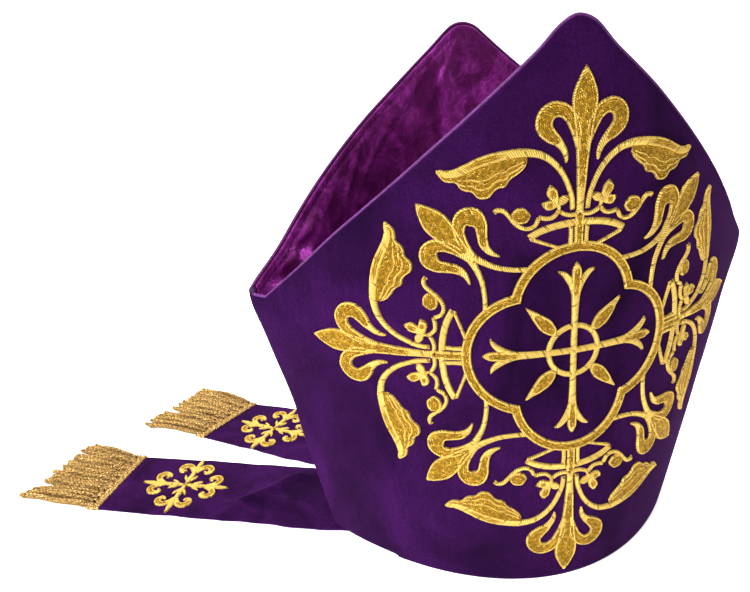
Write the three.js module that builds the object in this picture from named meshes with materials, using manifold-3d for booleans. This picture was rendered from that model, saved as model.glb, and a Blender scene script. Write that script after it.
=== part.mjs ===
// Bishop mitre: two stiff pointed horns sewn together at the sides, a soft lining that dips between
// them, a satin piping on each upper edge, gold embroidery on the front horn, and two lappets with
// an embroidered cross and a bullion fringe each, drawn out flat on the table to one side.
// Millimetres, +Z up. The front horn faces -Y and the side seams lie in the plane y = 0.
import * as THREE from 'three';
import { mergeVertices } from 'three/addons/utils/BufferGeometryUtils.js';
import Module from 'manifold-3d';

const wasm = await Module();
wasm.setup();

// Driving sizes of the horns
const HEIGHT = 310;             // table to the point where the two upper edges would meet
const PEAK_HEIGHT = 165;        // top of the side seams
const RIM_HALF_WIDTH = 115;
const PEAK_HALF_WIDTH = 151;
const FRONT_DEPTH = 84;         // how far the front horn bulges forward of the seams
const REAR_DEPTH = 98;
const RIM_TURN = 39;            // half of the angle that the panel turns through at the rim
const PEAK_TURN = 52.5;         // the same at the side peaks
const TIP_TURN = 19.5;          // the same at the tip
const EDGE_HOLLOW = 6.6;        // how far each upper edge curves in from a straight line
const TIP_ROUNDING = 16;
const EDGE_LEAN = 5;            // how far the upper edges stray from an even curve
const EAR_FLARE = 4.6;          // how far each side peak stands out sideways
const EAR_RISE = 4;             // middle of that flare above the side peaks
const EAR_HEIGHT = 20;
const SIDE_SWELL = 2.7;         // how far the side seams bulge out below the middle
const LOWEST_EDGE = 1;          // least height of the upper edges above PEAK_HEIGHT
const WALL = 3;
const GAP = 0.3;                // clearance between pieces that touch

// Driving sizes of the piping and the lining
const PIPING_THICKNESS = 1.9;
const LINING_THICKNESS = 1.2;
const LINING_EASE = 0.3;        // extra room behind the lining, which bends less than the wall
const LINING_MARGIN = 2.5;      // strip of bare wall between the lining and the upper edge
const VALLEY_RISE = 8;          // middle of the dip between the horns, above the side peaks
const VALLEY_SAG = 18;          // how far the lining hangs between the horns

// Driving sizes of the embroidery
const EMBROIDERY_REACH = 140;   // centre of the medallion to the tip of each upright fleur
const EMBROIDERY_HEIGHT = 144.6;
const EMBROIDERY_SHIFT = 4.2;
const EMBROIDERY_BOW = 10;      // how far its level lines rise at the side seams
const EMBROIDERY_DRAW = 15;     // how far its right end is drawn in where the cloth bends round
const EMBROIDERY_LIFT = 3;      // how far the fleur at that end is drawn up
const RELIEF = 1.2;
const LONGEST_EDGE = 14;        // longest straight edge round the panel that still hugs it

// Driving sizes of the lappets and fringes
const LAPPET_WIDTH = 67;
const LAPPET_THICKNESS = 1.6;
const LAPPET_CROSS_REACH = 33;
const FRINGE_HEAD = 8;
const FRINGE_LENGTH = 60;       // with its head
const FRINGE_THICKNESS = 3;
// Each lappet starts at x, y and runs back under the rim; slant is how far its far corner falls
// behind the near one, cross the distance from the fringed end to the cross
const NEAR_LAPPET = { x: -263.8, y: 93.3, heading: -22.8, length: 198, slant: 2, cross: 51 };
const FAR_LAPPET = { x: -186.2, y: 166.2, heading: -38, length: 172, slant: 8, cross: 48 };
const LAPPET_CREASE = 3;        // height of the soft creases in the lappets

// Mesh resolution
const HALF_COLUMNS = [0, 0.032, 0.065, 0.16, 0.28, 0.4, 0.52, 0.64, 0.76, 0.87, 0.965, 1];
const RIM_SHARES = [0, 0.12, 0.4, 0.7];
const EDGE_ROWS = 16;
const TIP_ROWS = 6;
const UPPER_ROWS = 5;
const WALL_ROWS = 3;
const VALLEY_ROWS = 5;
const LAPPET_ROWS = 13;
const LAPPET_COLUMNS = 4;

// Panel sections from the rim (level 0) by the side peaks (level 1) to the tip (level 2), as
// shares: flare from rim to peak half width, front and rear of their depths, and turn from the
// angle at the nearer lower level to the next one.
const SECTIONS = [
  { level: 0, flare: 0, front: 0.957, rear: 0.926, turn: 0 },
  { level: 0.47, flare: 0.47, front: 1.008, rear: 1.0, turn: 0.66 },
  { level: 1, flare: 1, front: 0.996, rear: 1.034, turn: 1 },
  { level: 1.53, flare: 1, front: 1.02, rear: 0.979, turn: 1.46 },
  { level: 2, flare: 1, front: 1.049, rear: 0.843, turn: 2 },
];

// Upper edges from the left seam to the right one: height over an even curve as shares of
// EDGE_LEAN
const FRONT_LEAN = [
  { across: -1, lean: 0.2 }, { across: -0.97, lean: -0.68 }, { across: -0.94, lean: -1.48 },
  { across: -0.88, lean: -1.32 }, { across: -0.8, lean: -1.1 }, { across: -0.68, lean: -0.68 },
  { across: -0.6, lean: -0.62 }, { across: -0.5, lean: -0.58 }, { across: -0.4, lean: -0.52 },
  { across: -0.3, lean: -0.54 }, { across: -0.12, lean: -0.54 }, { across: -0.05, lean: -0.16 },
  { across: 0, lean: 0.2 }, { across: 0.06, lean: 0.08 }, { across: 0.12, lean: -0.12 },
  { across: 0.2, lean: 0.12 }, { across: 0.3, lean: 0.4 }, { across: 0.5, lean: 0.52 },
  { across: 0.75, lean: 0.66 }, { across: 1, lean: 0.96 },
];
const REAR_LEAN = [
  { across: -1, lean: 0.9 }, { across: -0.85, lean: 0 }, { across: -0.6, lean: -0.14 },
  { across: -0.45, lean: -0.24 }, { across: -0.3, lean: -0.46 }, { across: -0.15, lean: -0.38 },
  { across: -0.04, lean: -0.12 }, { across: 0.05, lean: -0.24 }, { across: 0.2, lean: -0.32 },
  { across: 0.5, lean: -0.12 }, { across: 0.7, lean: 0 }, { across: 1, lean: 0.96 },
];
// Soft bulge of the cloth at the two side seams: height as a share of PEAK_HEIGHT, swell as
// shares of SIDE_SWELL
const SWELL = [
  { level: 0, left: 0.9, right: 0.4 }, { level: 0.24, left: 1, right: 0.75 },
  { level: 0.45, left: 0.9, right: 0.95 }, { level: 0.58, left: 0.2, right: 0.85 },
  { level: 0.68, left: 0, right: 0.5 }, { level: 0.82, left: 0, right: 0 },
];
const SWELL_SHARE = 0.55;       // width of that bulge, as a share of half a panel
const EAR_SHARE = 0.11;         // width of the flare at a side peak, as a share of half a panel

// Embroidery strokes: rows of across, out and half width in percent of EMBROIDERY_REACH, drawn
// for the upper left of the motif, with out pointing up from the centre of the medallion.
const STROKES = {
  fleurPetal: [[0, 100, 0.2], [0, 96.3, 2.4], [0, 91.3, 4.3], [0, 87, 4.4], [0, 82, 3.6],
    [0, 71.3, 2.3], [0, 53.8, 1.2]],
  fleurCurl: [[-1.6, 74.9, 1.1], [-3.1, 81, 2], [-6.8, 85.8, 2.3], [-11.1, 86.5, 2.8],
    [-13.6, 83.3, 3], [-12.1, 79.4, 2.8], [-8.3, 76, 1.6], [-5.7, 69.3, 0.3]],
  cornerPetal: [[-56.2, 56.2, 0.2], [-53.4, 53.4, 2.7], [-50.1, 50.1, 4.5], [-47.6, 47.6, 4.4],
    [-44.6, 44.6, 3.6], [-38.9, 38.9, 1.9]],
  cornerCurl: [[-38.5, 39.9, 1.3], [-40.9, 44.2, 2], [-41.4, 48.9, 2.1], [-39.6, 51.9, 3.3],
    [-36.2, 51.9, 3.5], [-33.8, 48.6, 2.3], [-33.1, 42.6, 1.7], [-27.5, 37.8, 0.3]],
  cornerStem: [[-39.9, 39.9, 1.7], [-32.8, 35.3, 1.2], [-28.5, 33.7, 1], [-19.6, 32.5, 0.9]],
  scrollStem: [[-2.7, 52.6, 0.9], [-3.9, 59.8, 0.9], [-7.4, 66.5, 1], [-12.4, 71.4, 1.2],
    [-19.6, 73.3, 1.4]],
  sprigTop: [[-10.5, 61.9, 0.4], [-10.1, 59.4, 1.9], [-7.4, 53, 0.8]],
  sprigSide: [[-13.5, 55.9, 0.4], [-11, 55.2, 1.8], [-8.2, 55.6, 1.2]],
  sprigInner: [[-5.2, 57.2, 0.8], [-8.6, 55.3, 1.5]],
  crownWave: [[-29.7, 53.6, 0.6], [-27.1, 54.2, 0.9], [-22.1, 48.9, 0.8], [-19.3, 47.5, 0.8],
    [-16.4, 47.7, 0.8], [-14.3, 50.6, 0.8], [-11.1, 50.7, 0.8], [-7.3, 52.8, 0.8],
    [-3.2, 51.1, 0.8], [0, 52.4, 0.8]],
  crownBall: [[-24.2, 52, 1.2], [-20.9, 52, 2.7], [-17.6, 52, 1.2]],
  crownBand: [[-17.3, 43.9, 1.4], [-10.5, 47.3, 1.3], [0, 48.4, 1.3]],
  crownBrace: [[-16.4, 43.2, 0.6], [-8.9, 40.8, 0.6]],
  crownStub: [[0, 51.4, 3.3], [0, 41.6, 3.3]],
  crossArm: [[0, 34, 0.2], [0, 31.7, 1.6], [0, 26, 1.9], [0, 20, 1.4], [0, -1, 1.2]],
  crossFluke: [[-7, 30.7, 0.3], [-3.6, 28.9, 1.2], [-0.6, 22.1, 1.3]],
  crossRay: [[-6.7, 6.7, 0.9], [-11, 11, 2.7], [-18.2, 18.2, 0.2]],
};

// Scroll leaf: rows of across, upper outline and scalloped lower outline, in the same percent.
const LEAF = [[-18.9, 74.5, 70.3], [-20.4, 74.7, 67], [-24.6, 74.5, 64.6], [-26.4, 74.2, 62.1],
  [-30.7, 73.5, 59.2], [-33.5, 72.5, 58.2], [-36.3, 71.5, 59.4], [-39.9, 69.6, 61.1],
  [-42.6, 68.4, 63.3], [-47.1, 68, 64.6], [-49.1, 67.6, 66.8]];

// Medallion: four lobes that overlap round a centre, and the ring on the cross, in the same percent.
const MEDALLION = { lobeRadius: 22.1, lobeOffset: 17.5, halfBand: 1.8, ring: 9.6, ringHalfBand: 1.1 };

// Lappet cross: rows of across, out and half width in percent of LAPPET_CROSS_REACH.
const LAPPET_STROKES = {
  petal: [[0, 100, 2], [0, 80, 6.5], [0, 48, 4.5], [0, -4, 4]],
  curl: [[-2, 47, 4], [-8, 60, 6], [-16, 69, 7.5], [-26, 72, 8], [-33, 63, 7.5], [-33, 53, 5.5]],
};

// Lappet plan: share of its length from the fringed end, and the two edges as shares of half the
// width, near side first. Both narrow where they pass under the rim side by side.
const NEAR_PLAN = [
  { along: 0, near: 1, far: 1 }, { along: 0.35, near: 1.02, far: 1.02 },
  { along: 0.65, near: 1.02, far: 1 }, { along: 0.8, near: 1.06, far: 1 },
  { along: 1, near: 0.95, far: 0.9 },
];
const FAR_PLAN = [
  { along: 0, near: 0.93, far: 0.92 }, { along: 0.25, near: 0.95, far: 1.08 },
  { along: 0.56, near: 0.97, far: 1.06 }, { along: 0.8, near: 0.72, far: 0.95 },
  { along: 1, near: 0.5, far: 0.85 },
];

// Creases: share along, share across from the centre, turned by degrees, as shares of the crease
// height, with the length and width of the raised part as shares of the lappet's width.
const CREASES = [
  { along: 0.59, across: 0.1, turn: 52, height: 1, length: 0.5, width: 0.12 },
  { along: 0.66, across: -0.4, turn: -16, height: 0.6, length: 0.4, width: 0.14 },
];

// Fringe locks from the near to the far edge: length and sideways lean as shares of FRINGE_LENGTH.
const NEAR_LOCKS = [
  { length: 1.07, lean: 0.08 }, { length: 1.08, lean: 0.11 }, { length: 1.03, lean: 0.13 },
  { length: 1.04, lean: 0.16 }, { length: 0.98, lean: 0.19 }, { length: 0.97, lean: 0.21 },
  { length: 0.91, lean: 0.24 }, { length: 0.88, lean: 0.27 },
];
const FAR_LOCKS = [
  { length: 0.96, lean: -0.03 }, { length: 1, lean: -0.01 }, { length: 0.98, lean: 0.01 },
  { length: 1.03, lean: 0.03 }, { length: 1, lean: 0.05 }, { length: 1.04, lean: 0.07 },
  { length: 1.02, lean: 0.1 }, { length: 1.04, lean: 0.12 },
];

// Materials
const velvet = () => new THREE.MeshStandardMaterial({ color: 0x2f1452, roughness: 0.95, metalness: 0 });
const satin = () => new THREE.MeshStandardMaterial({ color: 0x6e1d7c, roughness: 0.4, metalness: 0 });
const pipingSatin = () => new THREE.MeshStandardMaterial({ color: 0x8f57b8, roughness: 0.45, metalness: 0 });
const goldThread = () => new THREE.MeshStandardMaterial({ color: 0xc8962c, roughness: 0.45, metalness: 0.6 });
const bullion = () => new THREE.MeshStandardMaterial({ color: 0xc79a4b, roughness: 0.5, metalness: 0.55 });

const radians = (degrees) => degrees * Math.PI / 180;
const clamp = (value, low, high) => Math.min(high, Math.max(low, value));
function smoothStep(low, high, value) {
  const share = clamp((value - low) / (high - low), 0, 1);
  return share * share * (3 - 2 * share);
}

// Smooth value of one column of a table at a position, without overshoot between the rows
function profile(table, key, column, at) {
  const last = table.length - 1;
  const slope = (i) => (table[i + 1][column] - table[i][column]) / (table[i + 1][key] - table[i][key]);
  const tangent = (i) => {
    if (i === 0) return slope(0);
    if (i === last) return slope(last - 1);
    const before = slope(i - 1);
    const after = slope(i);
    return before * after <= 0 ? 0 : 2 * before * after / (before + after);
  };
  let i = 0;
  while (i < last - 1 && at > table[i + 1][key]) i += 1;
  const span = table[i + 1][key] - table[i][key];
  const s = clamp((at - table[i][key]) / span, 0, 1);
  const rise = s * s * (3 - 2 * s);
  return table[i][column] * (1 - rise) + table[i + 1][column] * rise
    + span * (tangent(i) * s * (1 - s) * (1 - s) - tangent(i + 1) * s * s * (1 - s));
}

// Size of one horizontal section of a panel
function sectionAt(side, z) {
  const level = z <= PEAK_HEIGHT ? z / PEAK_HEIGHT : 1 + (z - PEAK_HEIGHT) / (HEIGHT - PEAK_HEIGHT);
  const share = (column) => profile(SECTIONS, 'level', column, clamp(level, 0, 2));
  const turnShare = share('turn');
  const turn = turnShare <= 1 ? RIM_TURN + (PEAK_TURN - RIM_TURN) * turnShare
    : PEAK_TURN + (TIP_TURN - PEAK_TURN) * (turnShare - 1);
  return {
    halfWidth: RIM_HALF_WIDTH + (PEAK_HALF_WIDTH - RIM_HALF_WIDTH) * share('flare'),
    depth: side === 'front' ? FRONT_DEPTH * share('front') : REAR_DEPTH * share('rear'),
    turn: radians(turn),
  };
}

// Point of a panel: across runs from -1 at the left seam to 1 at the right one, inset is the
// distance in from the outer face
function panelPoint(side, across, z, inset) {
  const { halfWidth, depth, turn } = sectionAt(side, z);
  const ear = ((1 - Math.abs(across)) / EAR_SHARE) ** 2 + ((z - PEAK_HEIGHT - EAR_RISE) / EAR_HEIGHT) ** 2;
  const swell = profile(SWELL, 'level', across < 0 ? 'left' : 'right', clamp(z / PEAK_HEIGHT, 0, 0.82));
  const spread = Math.exp(-(((1 - Math.abs(across)) / SWELL_SHARE) ** 2)) - Math.exp(-1 / SWELL_SHARE ** 2);
  const x = (halfWidth - 1.2 * inset) * Math.sin(turn * across) / Math.sin(turn)
    + (EAR_FLARE * Math.exp(-ear) + SIDE_SWELL * swell * spread) * Math.sign(across);
  const bulge = (Math.cos(turn * across) - Math.cos(turn)) / (1 - Math.cos(turn));
  const y = (depth - inset) * bulge + GAP / 2;
  return new THREE.Vector3(x, side === 'front' ? -y : y, z);
}

// Distance round the outer face from the middle of the panel to across, and the reverse
function arcTo(side, across, z) {
  const steps = 24;
  let length = 0;
  let last = panelPoint(side, 0, z, 0);
  for (let i = 1; i <= steps; i += 1) {
    const next = panelPoint(side, across * i / steps, z, 0);
    length += next.distanceTo(last);
    last = next;
  }
  return length;
}
function acrossAt(side, distance, z) {
  const target = Math.abs(distance);
  let low = 0;
  let high = 1.2;
  for (let i = 0; i < 22; i += 1) {
    const middle = (low + high) / 2;
    if (arcTo(side, middle, z) < target) low = middle;
    else high = middle;
  }
  return Math.sign(distance) * (low + high) / 2;
}

// Upper edge of a panel as rows of height and across, from the side peak to the rounded tip
function edgeRows(side) {
  const rise = HEIGHT - PEAK_HEIGHT;
  const reach = arcTo(side, 1, PEAK_HEIGHT);
  const half = Math.atan2(reach - 4 * EDGE_HOLLOW, rise);
  const tangent = TIP_ROUNDING / Math.tan(half);
  const stop = 1 - tangent * Math.cos(half) / rise;
  const rows = [];
  for (let i = 0; i <= EDGE_ROWS; i += 1) {
    const s = stop * i / EDGE_ROWS;
    const z = PEAK_HEIGHT + rise * s;
    const distance = reach * (1 - s) - EDGE_HOLLOW * 4 * s * (1 - s);
    rows.push({ z, across: i === 0 ? 1 : acrossAt(side, distance, z) });
  }
  const centre = HEIGHT - TIP_ROUNDING / Math.sin(half);
  for (let i = 1; i <= TIP_ROWS; i += 1) {
    const angle = (Math.PI / 2 - half) * (1 - i / TIP_ROWS);
    const z = centre + TIP_ROUNDING * Math.cos(angle);
    rows.push({ z, across: acrossAt(side, TIP_ROUNDING * Math.sin(angle), z) });
  }
  return rows;
}
const EDGES = { front: edgeRows('front'), rear: edgeRows('rear') };

// Height of the upper edge above a column of the panel
function edgeHeight(side, across) {
  const rows = EDGES[side];
  const wanted = Math.abs(across);
  let i = 0;
  while (i < rows.length - 2 && rows[i + 1].across > wanted) i += 1;
  const share = (rows[i].across - wanted) / (rows[i].across - rows[i + 1].across);
  const lean = profile(side === 'front' ? FRONT_LEAN : REAR_LEAN, 'across', 'lean', across);
  const even = rows[i].z + (rows[i + 1].z - rows[i].z) * clamp(share, 0, 1);
  return Math.max(even + EDGE_LEAN * lean, PEAK_HEIGHT + LOWEST_EDGE);
}

// Closed solid between two grids of points of the same size; points that fall together are merged
function shell(face, back) {
  const rows = face.length;
  const columns = face[0].length;
  const points = [...face.flat(), ...back.flat()];
  const offset = rows * columns;
  const triangles = [];
  const quad = (a, b, c, d) => triangles.push([a, b, c], [a, c, d]);
  for (let j = 0; j < rows - 1; j += 1) {
    for (let i = 0; i < columns - 1; i += 1) {
      const a = j * columns + i;
      quad(a, a + 1, a + columns + 1, a + columns);
      quad(offset + a, offset + a + columns, offset + a + columns + 1, offset + a + 1);
    }
  }
  const rim = [];
  for (let i = 0; i < columns; i += 1) rim.push(i);
  for (let j = 1; j < rows; j += 1) rim.push(j * columns + columns - 1);
  for (let i = columns - 2; i >= 0; i -= 1) rim.push((rows - 1) * columns + i);
  for (let j = rows - 2; j > 0; j -= 1) rim.push(j * columns);
  rim.forEach((a, k) => {
    const b = rim[(k + 1) % rim.length];
    quad(a, offset + a, offset + b, b);
  });
  return closedBody(points, triangles);
}

// Geometry from points and triangles, with merged points, no empty triangles and faces turned out
function closedBody(points, triangles) {
  const geometry = new THREE.BufferGeometry().setFromPoints(points);
  geometry.setIndex(triangles.flat());
  const merged = mergeVertices(geometry, 1e-4);
  const index = [...merged.index.array];
  const kept = [];
  const corner = (i) => new THREE.Vector3().fromBufferAttribute(merged.attributes.position, i);
  let volume = 0;
  for (let i = 0; i < index.length; i += 3) {
    const [a, b, c] = index.slice(i, i + 3);
    if (a !== b && b !== c && c !== a) {
      kept.push([a, b, c]);
      volume += corner(a).dot(corner(b).cross(corner(c)));
    }
  }
  merged.setIndex(kept.map(([a, b, c]) => (volume < 0 ? [a, c, b] : [a, b, c])).flat());
  merged.computeVertexNormals();
  return merged;
}

// Position in a lappet's own plan: distance along it from the fringed end, and across it
function lappetFrame({ x, y, heading }) {
  const angle = radians(heading);
  const direction = new THREE.Vector2(Math.cos(angle), Math.sin(angle));
  return {
    plan: (along, across) => new THREE.Vector2(x, y)
      .addScaledVector(direction, along)
      .addScaledVector(new THREE.Vector2(-direction.y, direction.x), across),
    local: (px, py) => {
      const offset = new THREE.Vector2(px - x, py - y);
      return { along: offset.dot(direction), across: direction.cross(offset) };
    },
  };
}

// Height of the rim above the table: it rides over the lappets that pass under it
function rimLift(point) {
  const flat = LAPPET_WIDTH / 2 + 16;
  const lifts = [NEAR_LAPPET, FAR_LAPPET].map((lappet) => {
    const { along, across } = lappetFrame(lappet).local(point.x, point.y);
    const reach = along > 0 && along < lappet.length + 20;
    return reach ? clamp((flat + 18 - Math.abs(across)) / 18, 0, 1) : 0;
  });
  return (LAPPET_THICKNESS + GAP) * Math.max(...lifts);
}

// Columns of a panel from the left seam to the right one
const COLUMNS = [...HALF_COLUMNS.slice(1).reverse().map((across) => -across), ...HALF_COLUMNS];

// Horn: a curved wall from the rim to the upper edge
function hornGeometry(side) {
  const column = (across, inset, lift) => {
    const peak = edgeHeight(side, across) - PEAK_HEIGHT;
    const heights = RIM_SHARES.map((share) => Math.max(PEAK_HEIGHT * share, lift));
    for (let k = 0; k <= UPPER_ROWS; k += 1) heights.push(PEAK_HEIGHT + peak * k / UPPER_ROWS);
    return heights.map((z) => panelPoint(side, across, z, inset));
  };
  const lifts = COLUMNS.map((across) => Math.max(
    rimLift(panelPoint(side, across, 0, 0)),
    rimLift(panelPoint(side, across, 0, WALL)),
  ));
  const grid = (inset) => COLUMNS.map((across, i) => column(across, inset, lifts[i]));
  return shell(grid(0), grid(WALL));
}

// Lining: one soft sheet, up the inside of both horns and hanging in a dip between them
function liningGeometry() {
  const front = [];
  const back = [];
  const behind = WALL + GAP + LINING_EASE;
  const facing = behind + LINING_THICKNESS;
  COLUMNS.slice(1, -1).forEach((across) => {
    const valley = PEAK_HEIGHT - LINING_MARGIN * 2 + (VALLEY_RISE + LINING_MARGIN) * (1 - across * across);
    const visible = [];
    const hidden = [];
    const wall = (side, k) => {
      const top = Math.max(edgeHeight(side, across) - LINING_MARGIN, valley + 1);
      const z = top + (valley - top) * k / WALL_ROWS;
      visible.push(panelPoint(side, across, z, facing));
      hidden.push(panelPoint(side, across, z, behind));
    };
    for (let k = 0; k <= WALL_ROWS; k += 1) wall('rear', k);
    const rear = visible[visible.length - 1];
    const ahead = panelPoint('front', across, valley, facing);
    const width = rear.distanceTo(ahead);
    const sag = Math.min(VALLEY_SAG, width * 0.16);
    for (let k = 1; k < VALLEY_ROWS; k += 1) {
      const share = k / VALLEY_ROWS;
      const point = rear.clone().lerp(ahead, share);
      point.z -= LINING_THICKNESS + sag * (1 - (2 * share - 1) ** 4);
      visible.push(point);
      hidden.push(point.clone().add(new THREE.Vector3(0, 0, -LINING_THICKNESS)));
    }
    for (let k = WALL_ROWS; k >= 0; k -= 1) wall('front', k);
    front.push(visible);
    back.push(hidden);
  });
  return shell(front, back);
}

// Piping: a thin tube seated on a horn's upper edge, from one side peak over the tip to the other
function pipingGeometry(side) {
  const radius = PIPING_THICKNESS / 2;
  const path = COLUMNS.map((across) => ({ across, z: edgeHeight(side, across) }));
  const centre = path.map((row) => panelPoint(side, row.across, row.z, WALL / 2));
  const rings = centre.map((point, i) => {
    const isEnd = i === 0 || i === centre.length - 1;
    const along = isEnd ? new THREE.Vector3(0, 1, 0)
      : centre[i + 1].clone().sub(centre[i - 1]).normalize();
    const { across, z } = path[i];
    const out = point.clone().sub(panelPoint(side, across, z, WALL / 2 + 1)).normalize();
    const up = out.clone().cross(along).normalize();
    if (up.z < 0) up.negate();
    const level = along.clone().cross(up).normalize();
    const seat = point.clone().addScaledVector(up, radius + GAP);
    return Array.from({ length: 6 }, (unused, k) => {
      const angle = radians(60 * k);
      return seat.clone().addScaledVector(level, radius * Math.cos(angle))
        .addScaledVector(up, radius * Math.sin(angle));
    });
  });
  const points = rings.flat();
  const triangles = [];
  for (let j = 0; j < rings.length - 1; j += 1) {
    for (let k = 0; k < 6; k += 1) {
      const a = j * 6 + k;
      const b = j * 6 + (k + 1) % 6;
      triangles.push([a, b, b + 6], [a, b + 6, a + 6]);
    }
  }
  const end = (rings.length - 1) * 6;
  for (let k = 1; k < 5; k += 1) triangles.push([0, k + 1, k], [end, end + k, end + k + 1]);
  return closedBody(points, triangles);
}

// Flat outline of one stroke: points offset to both sides of its middle line
function strokeOutline(rows, unit, turn, mirror) {
  const middle = rows.map(([across, out]) => new THREE.Vector2(across * unit * mirror, out * unit));
  const sides = middle.map((point, i) => {
    const ahead = middle[Math.min(i + 1, middle.length - 1)];
    const before = middle[Math.max(i - 1, 0)];
    const along = ahead.clone().sub(before).normalize();
    const offset = new THREE.Vector2(-along.y, along.x).multiplyScalar(rows[i][2] * unit);
    return [point.clone().add(offset), point.clone().sub(offset)];
  });
  const outline = [...sides.map((pair) => pair[0]), ...sides.reverse().map((pair) => pair[1])];
  return outline.map((point) => point.rotateAround(new THREE.Vector2(), radians(turn)));
}

// Solid of one flat outline, ready to be joined with others
function flatSolid(outline, thickness) {
  const geometry = new THREE.ExtrudeGeometry(new THREE.Shape(outline), { depth: thickness, bevelEnabled: false });
  geometry.deleteAttribute('normal');
  geometry.deleteAttribute('uv');
  const merged = mergeVertices(geometry, 1e-4);
  return new wasm.Manifold(new wasm.Mesh({
    numProp: 3,
    vertProperties: new Float32Array(merged.attributes.position.array),
    triVerts: new Uint32Array(merged.index.array),
  }));
}
const joined = (solids) => solids.reduce((whole, piece) => whole.add(piece));

function circle(x, y, radius, count) {
  return Array.from({ length: count }, (unused, i) => {
    const angle = 2 * Math.PI * i / count;
    return new THREE.Vector2(x + radius * Math.cos(angle), y + radius * Math.sin(angle));
  });
}

// Joined solid laid on a curved face: long edges are halved first so that it hugs the face
function laidOn(solid, place, longestEdge) {
  const mesh = solid.getMesh();
  let points = [];
  for (let i = 0; i < mesh.vertProperties.length; i += mesh.numProp) {
    points.push(new THREE.Vector3(...mesh.vertProperties.slice(i, i + 3)));
  }
  let triangles = [];
  for (let i = 0; i < mesh.triVerts.length; i += 3) triangles.push([...mesh.triVerts.slice(i, i + 3)]);
  for (let pass = 0; pass < 3; pass += 1) {
    const halves = new Map();
    const middle = (a, b) => {
      const around = points[a].x - points[b].x;
      const upward = (points[a].y - points[b].y) / 2.5;
      if (Math.hypot(around, upward) <= longestEdge) return null;
      const key = a < b ? `${a},${b}` : `${b},${a}`;
      if (!halves.has(key)) {
        halves.set(key, points.length);
        points.push(points[a].clone().add(points[b]).multiplyScalar(0.5));
      }
      return halves.get(key);
    };
    triangles = triangles.flatMap(([a, b, c]) => split([a, b, c], [middle(a, b), middle(b, c), middle(c, a)]));
  }
  points = points.map((point) => place(point.x, point.y, point.z));
  return closedBody(points, triangles);
}

// Smaller triangles of one triangle whose marked edges are halved
function split([a, b, c], [ab, bc, ca]) {
  const marked = [ab, bc, ca].filter((m) => m !== null).length;
  if (marked === 0) return [[a, b, c]];
  if (marked === 3) return [[a, ab, ca], [ab, b, bc], [ca, bc, c], [ab, bc, ca]];
  if (marked === 1) {
    if (ab !== null) return [[a, ab, c], [ab, b, c]];
    if (bc !== null) return [[b, bc, a], [bc, c, a]];
    return [[c, ca, b], [ca, a, b]];
  }
  if (ab === null) return [[c, ca, bc], [ca, a, b], [ca, b, bc]];
  if (bc === null) return [[a, ab, ca], [ab, b, c], [ab, c, ca]];
  return [[b, bc, ab], [bc, c, a], [bc, a, ab]];
}

// Where a point of the flat embroidery lies on the front horn
function onFrontHorn(x, y, height) {
  const level = Math.exp(-((y / (EMBROIDERY_REACH * 0.415)) ** 4));
  const end = smoothStep(0.7, 1, x / EMBROIDERY_REACH) * level;
  const drawn = smoothStep(0.45, 0.95, x / EMBROIDERY_REACH) * level * 0.8 + end * 0.2;
  const around = x + EMBROIDERY_SHIFT - EMBROIDERY_DRAW * drawn;
  const z = EMBROIDERY_HEIGHT + y + EMBROIDERY_BOW * (around / (EMBROIDERY_REACH * 1.2)) ** 2
    + EMBROIDERY_LIFT * end;
  return panelPoint('front', acrossAt('front', around, z), z, -(GAP + height));
}

// Strokes of one motif, each drawn once or with its mirror image, turned about the medallion
const unit = EMBROIDERY_REACH / 100;
const strokes = (names, turn, mirrors) => joined(names.flatMap((name) => mirrors.map((mirror) => (
  flatSolid(strokeOutline(STROKES[name], unit, turn, mirror), RELIEF)
))));

function fleur(turn) {
  return strokes(['fleurPetal'], turn, [1]).add(strokes(['fleurCurl'], turn, [1, -1]));
}
function cornerFleur(turn) {
  const bySwap = (name) => STROKES[name].map(([across, out, half]) => [-out, -across, half]);
  const swapped = ['cornerCurl', 'cornerStem'].map((name) => (
    flatSolid(strokeOutline(bySwap(name), unit, turn, 1), RELIEF)
  ));
  return strokes(['cornerPetal', 'cornerCurl', 'cornerStem'], turn, [1]).add(joined(swapped));
}
function crown(turn) {
  const paired = ['crownWave', 'crownBall', 'crownBand', 'crownBrace', 'sprigTop', 'sprigSide', 'sprigInner'];
  return strokes(paired, turn, [1, -1]).add(strokes(['crownStub'], turn, [1]));
}
function scrollLeaf(turn, mirror) {
  const upper = LEAF.map(([across, top]) => new THREE.Vector2(across * unit * mirror, top * unit));
  const lower = LEAF.map(([across, top, bottom]) => new THREE.Vector2(across * unit * mirror, bottom * unit));
  const outline = [...upper, ...lower.reverse()].map((point) => (
    point.rotateAround(new THREE.Vector2(), radians(turn))
  ));
  return flatSolid(outline, RELIEF).add(strokes(['scrollStem'], turn, [mirror]));
}
function medallionFrame() {
  const { lobeRadius, lobeOffset, halfBand } = MEDALLION;
  const lobes = (radius, thickness) => joined([0, 1, 2, 3].map((quarter) => {
    const angle = quarter * Math.PI / 2;
    const x = lobeOffset * unit * Math.cos(angle);
    const y = lobeOffset * unit * Math.sin(angle);
    return flatSolid(circle(x, y, radius * unit, 20), thickness);
  }));
  return lobes(lobeRadius + halfBand, RELIEF)
    .subtract(lobes(lobeRadius - halfBand, RELIEF * 3).translate([0, 0, -RELIEF]));
}
function medallionCross() {
  const { ring, ringHalfBand } = MEDALLION;
  const hole = flatSolid(circle(0, 0, (ring - ringHalfBand) * unit, 14), RELIEF * 3);
  const band = flatSolid(circle(0, 0, (ring + ringHalfBand) * unit, 14), RELIEF)
    .subtract(hole.translate([0, 0, -RELIEF]));
  const arms = [0, 90, 180, 270].map((turn) => (
    strokes(['crossArm', 'crossRay'], turn, [1]).add(strokes(['crossFluke'], turn, [1, -1]))
  ));
  return band.add(joined(arms));
}

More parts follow.
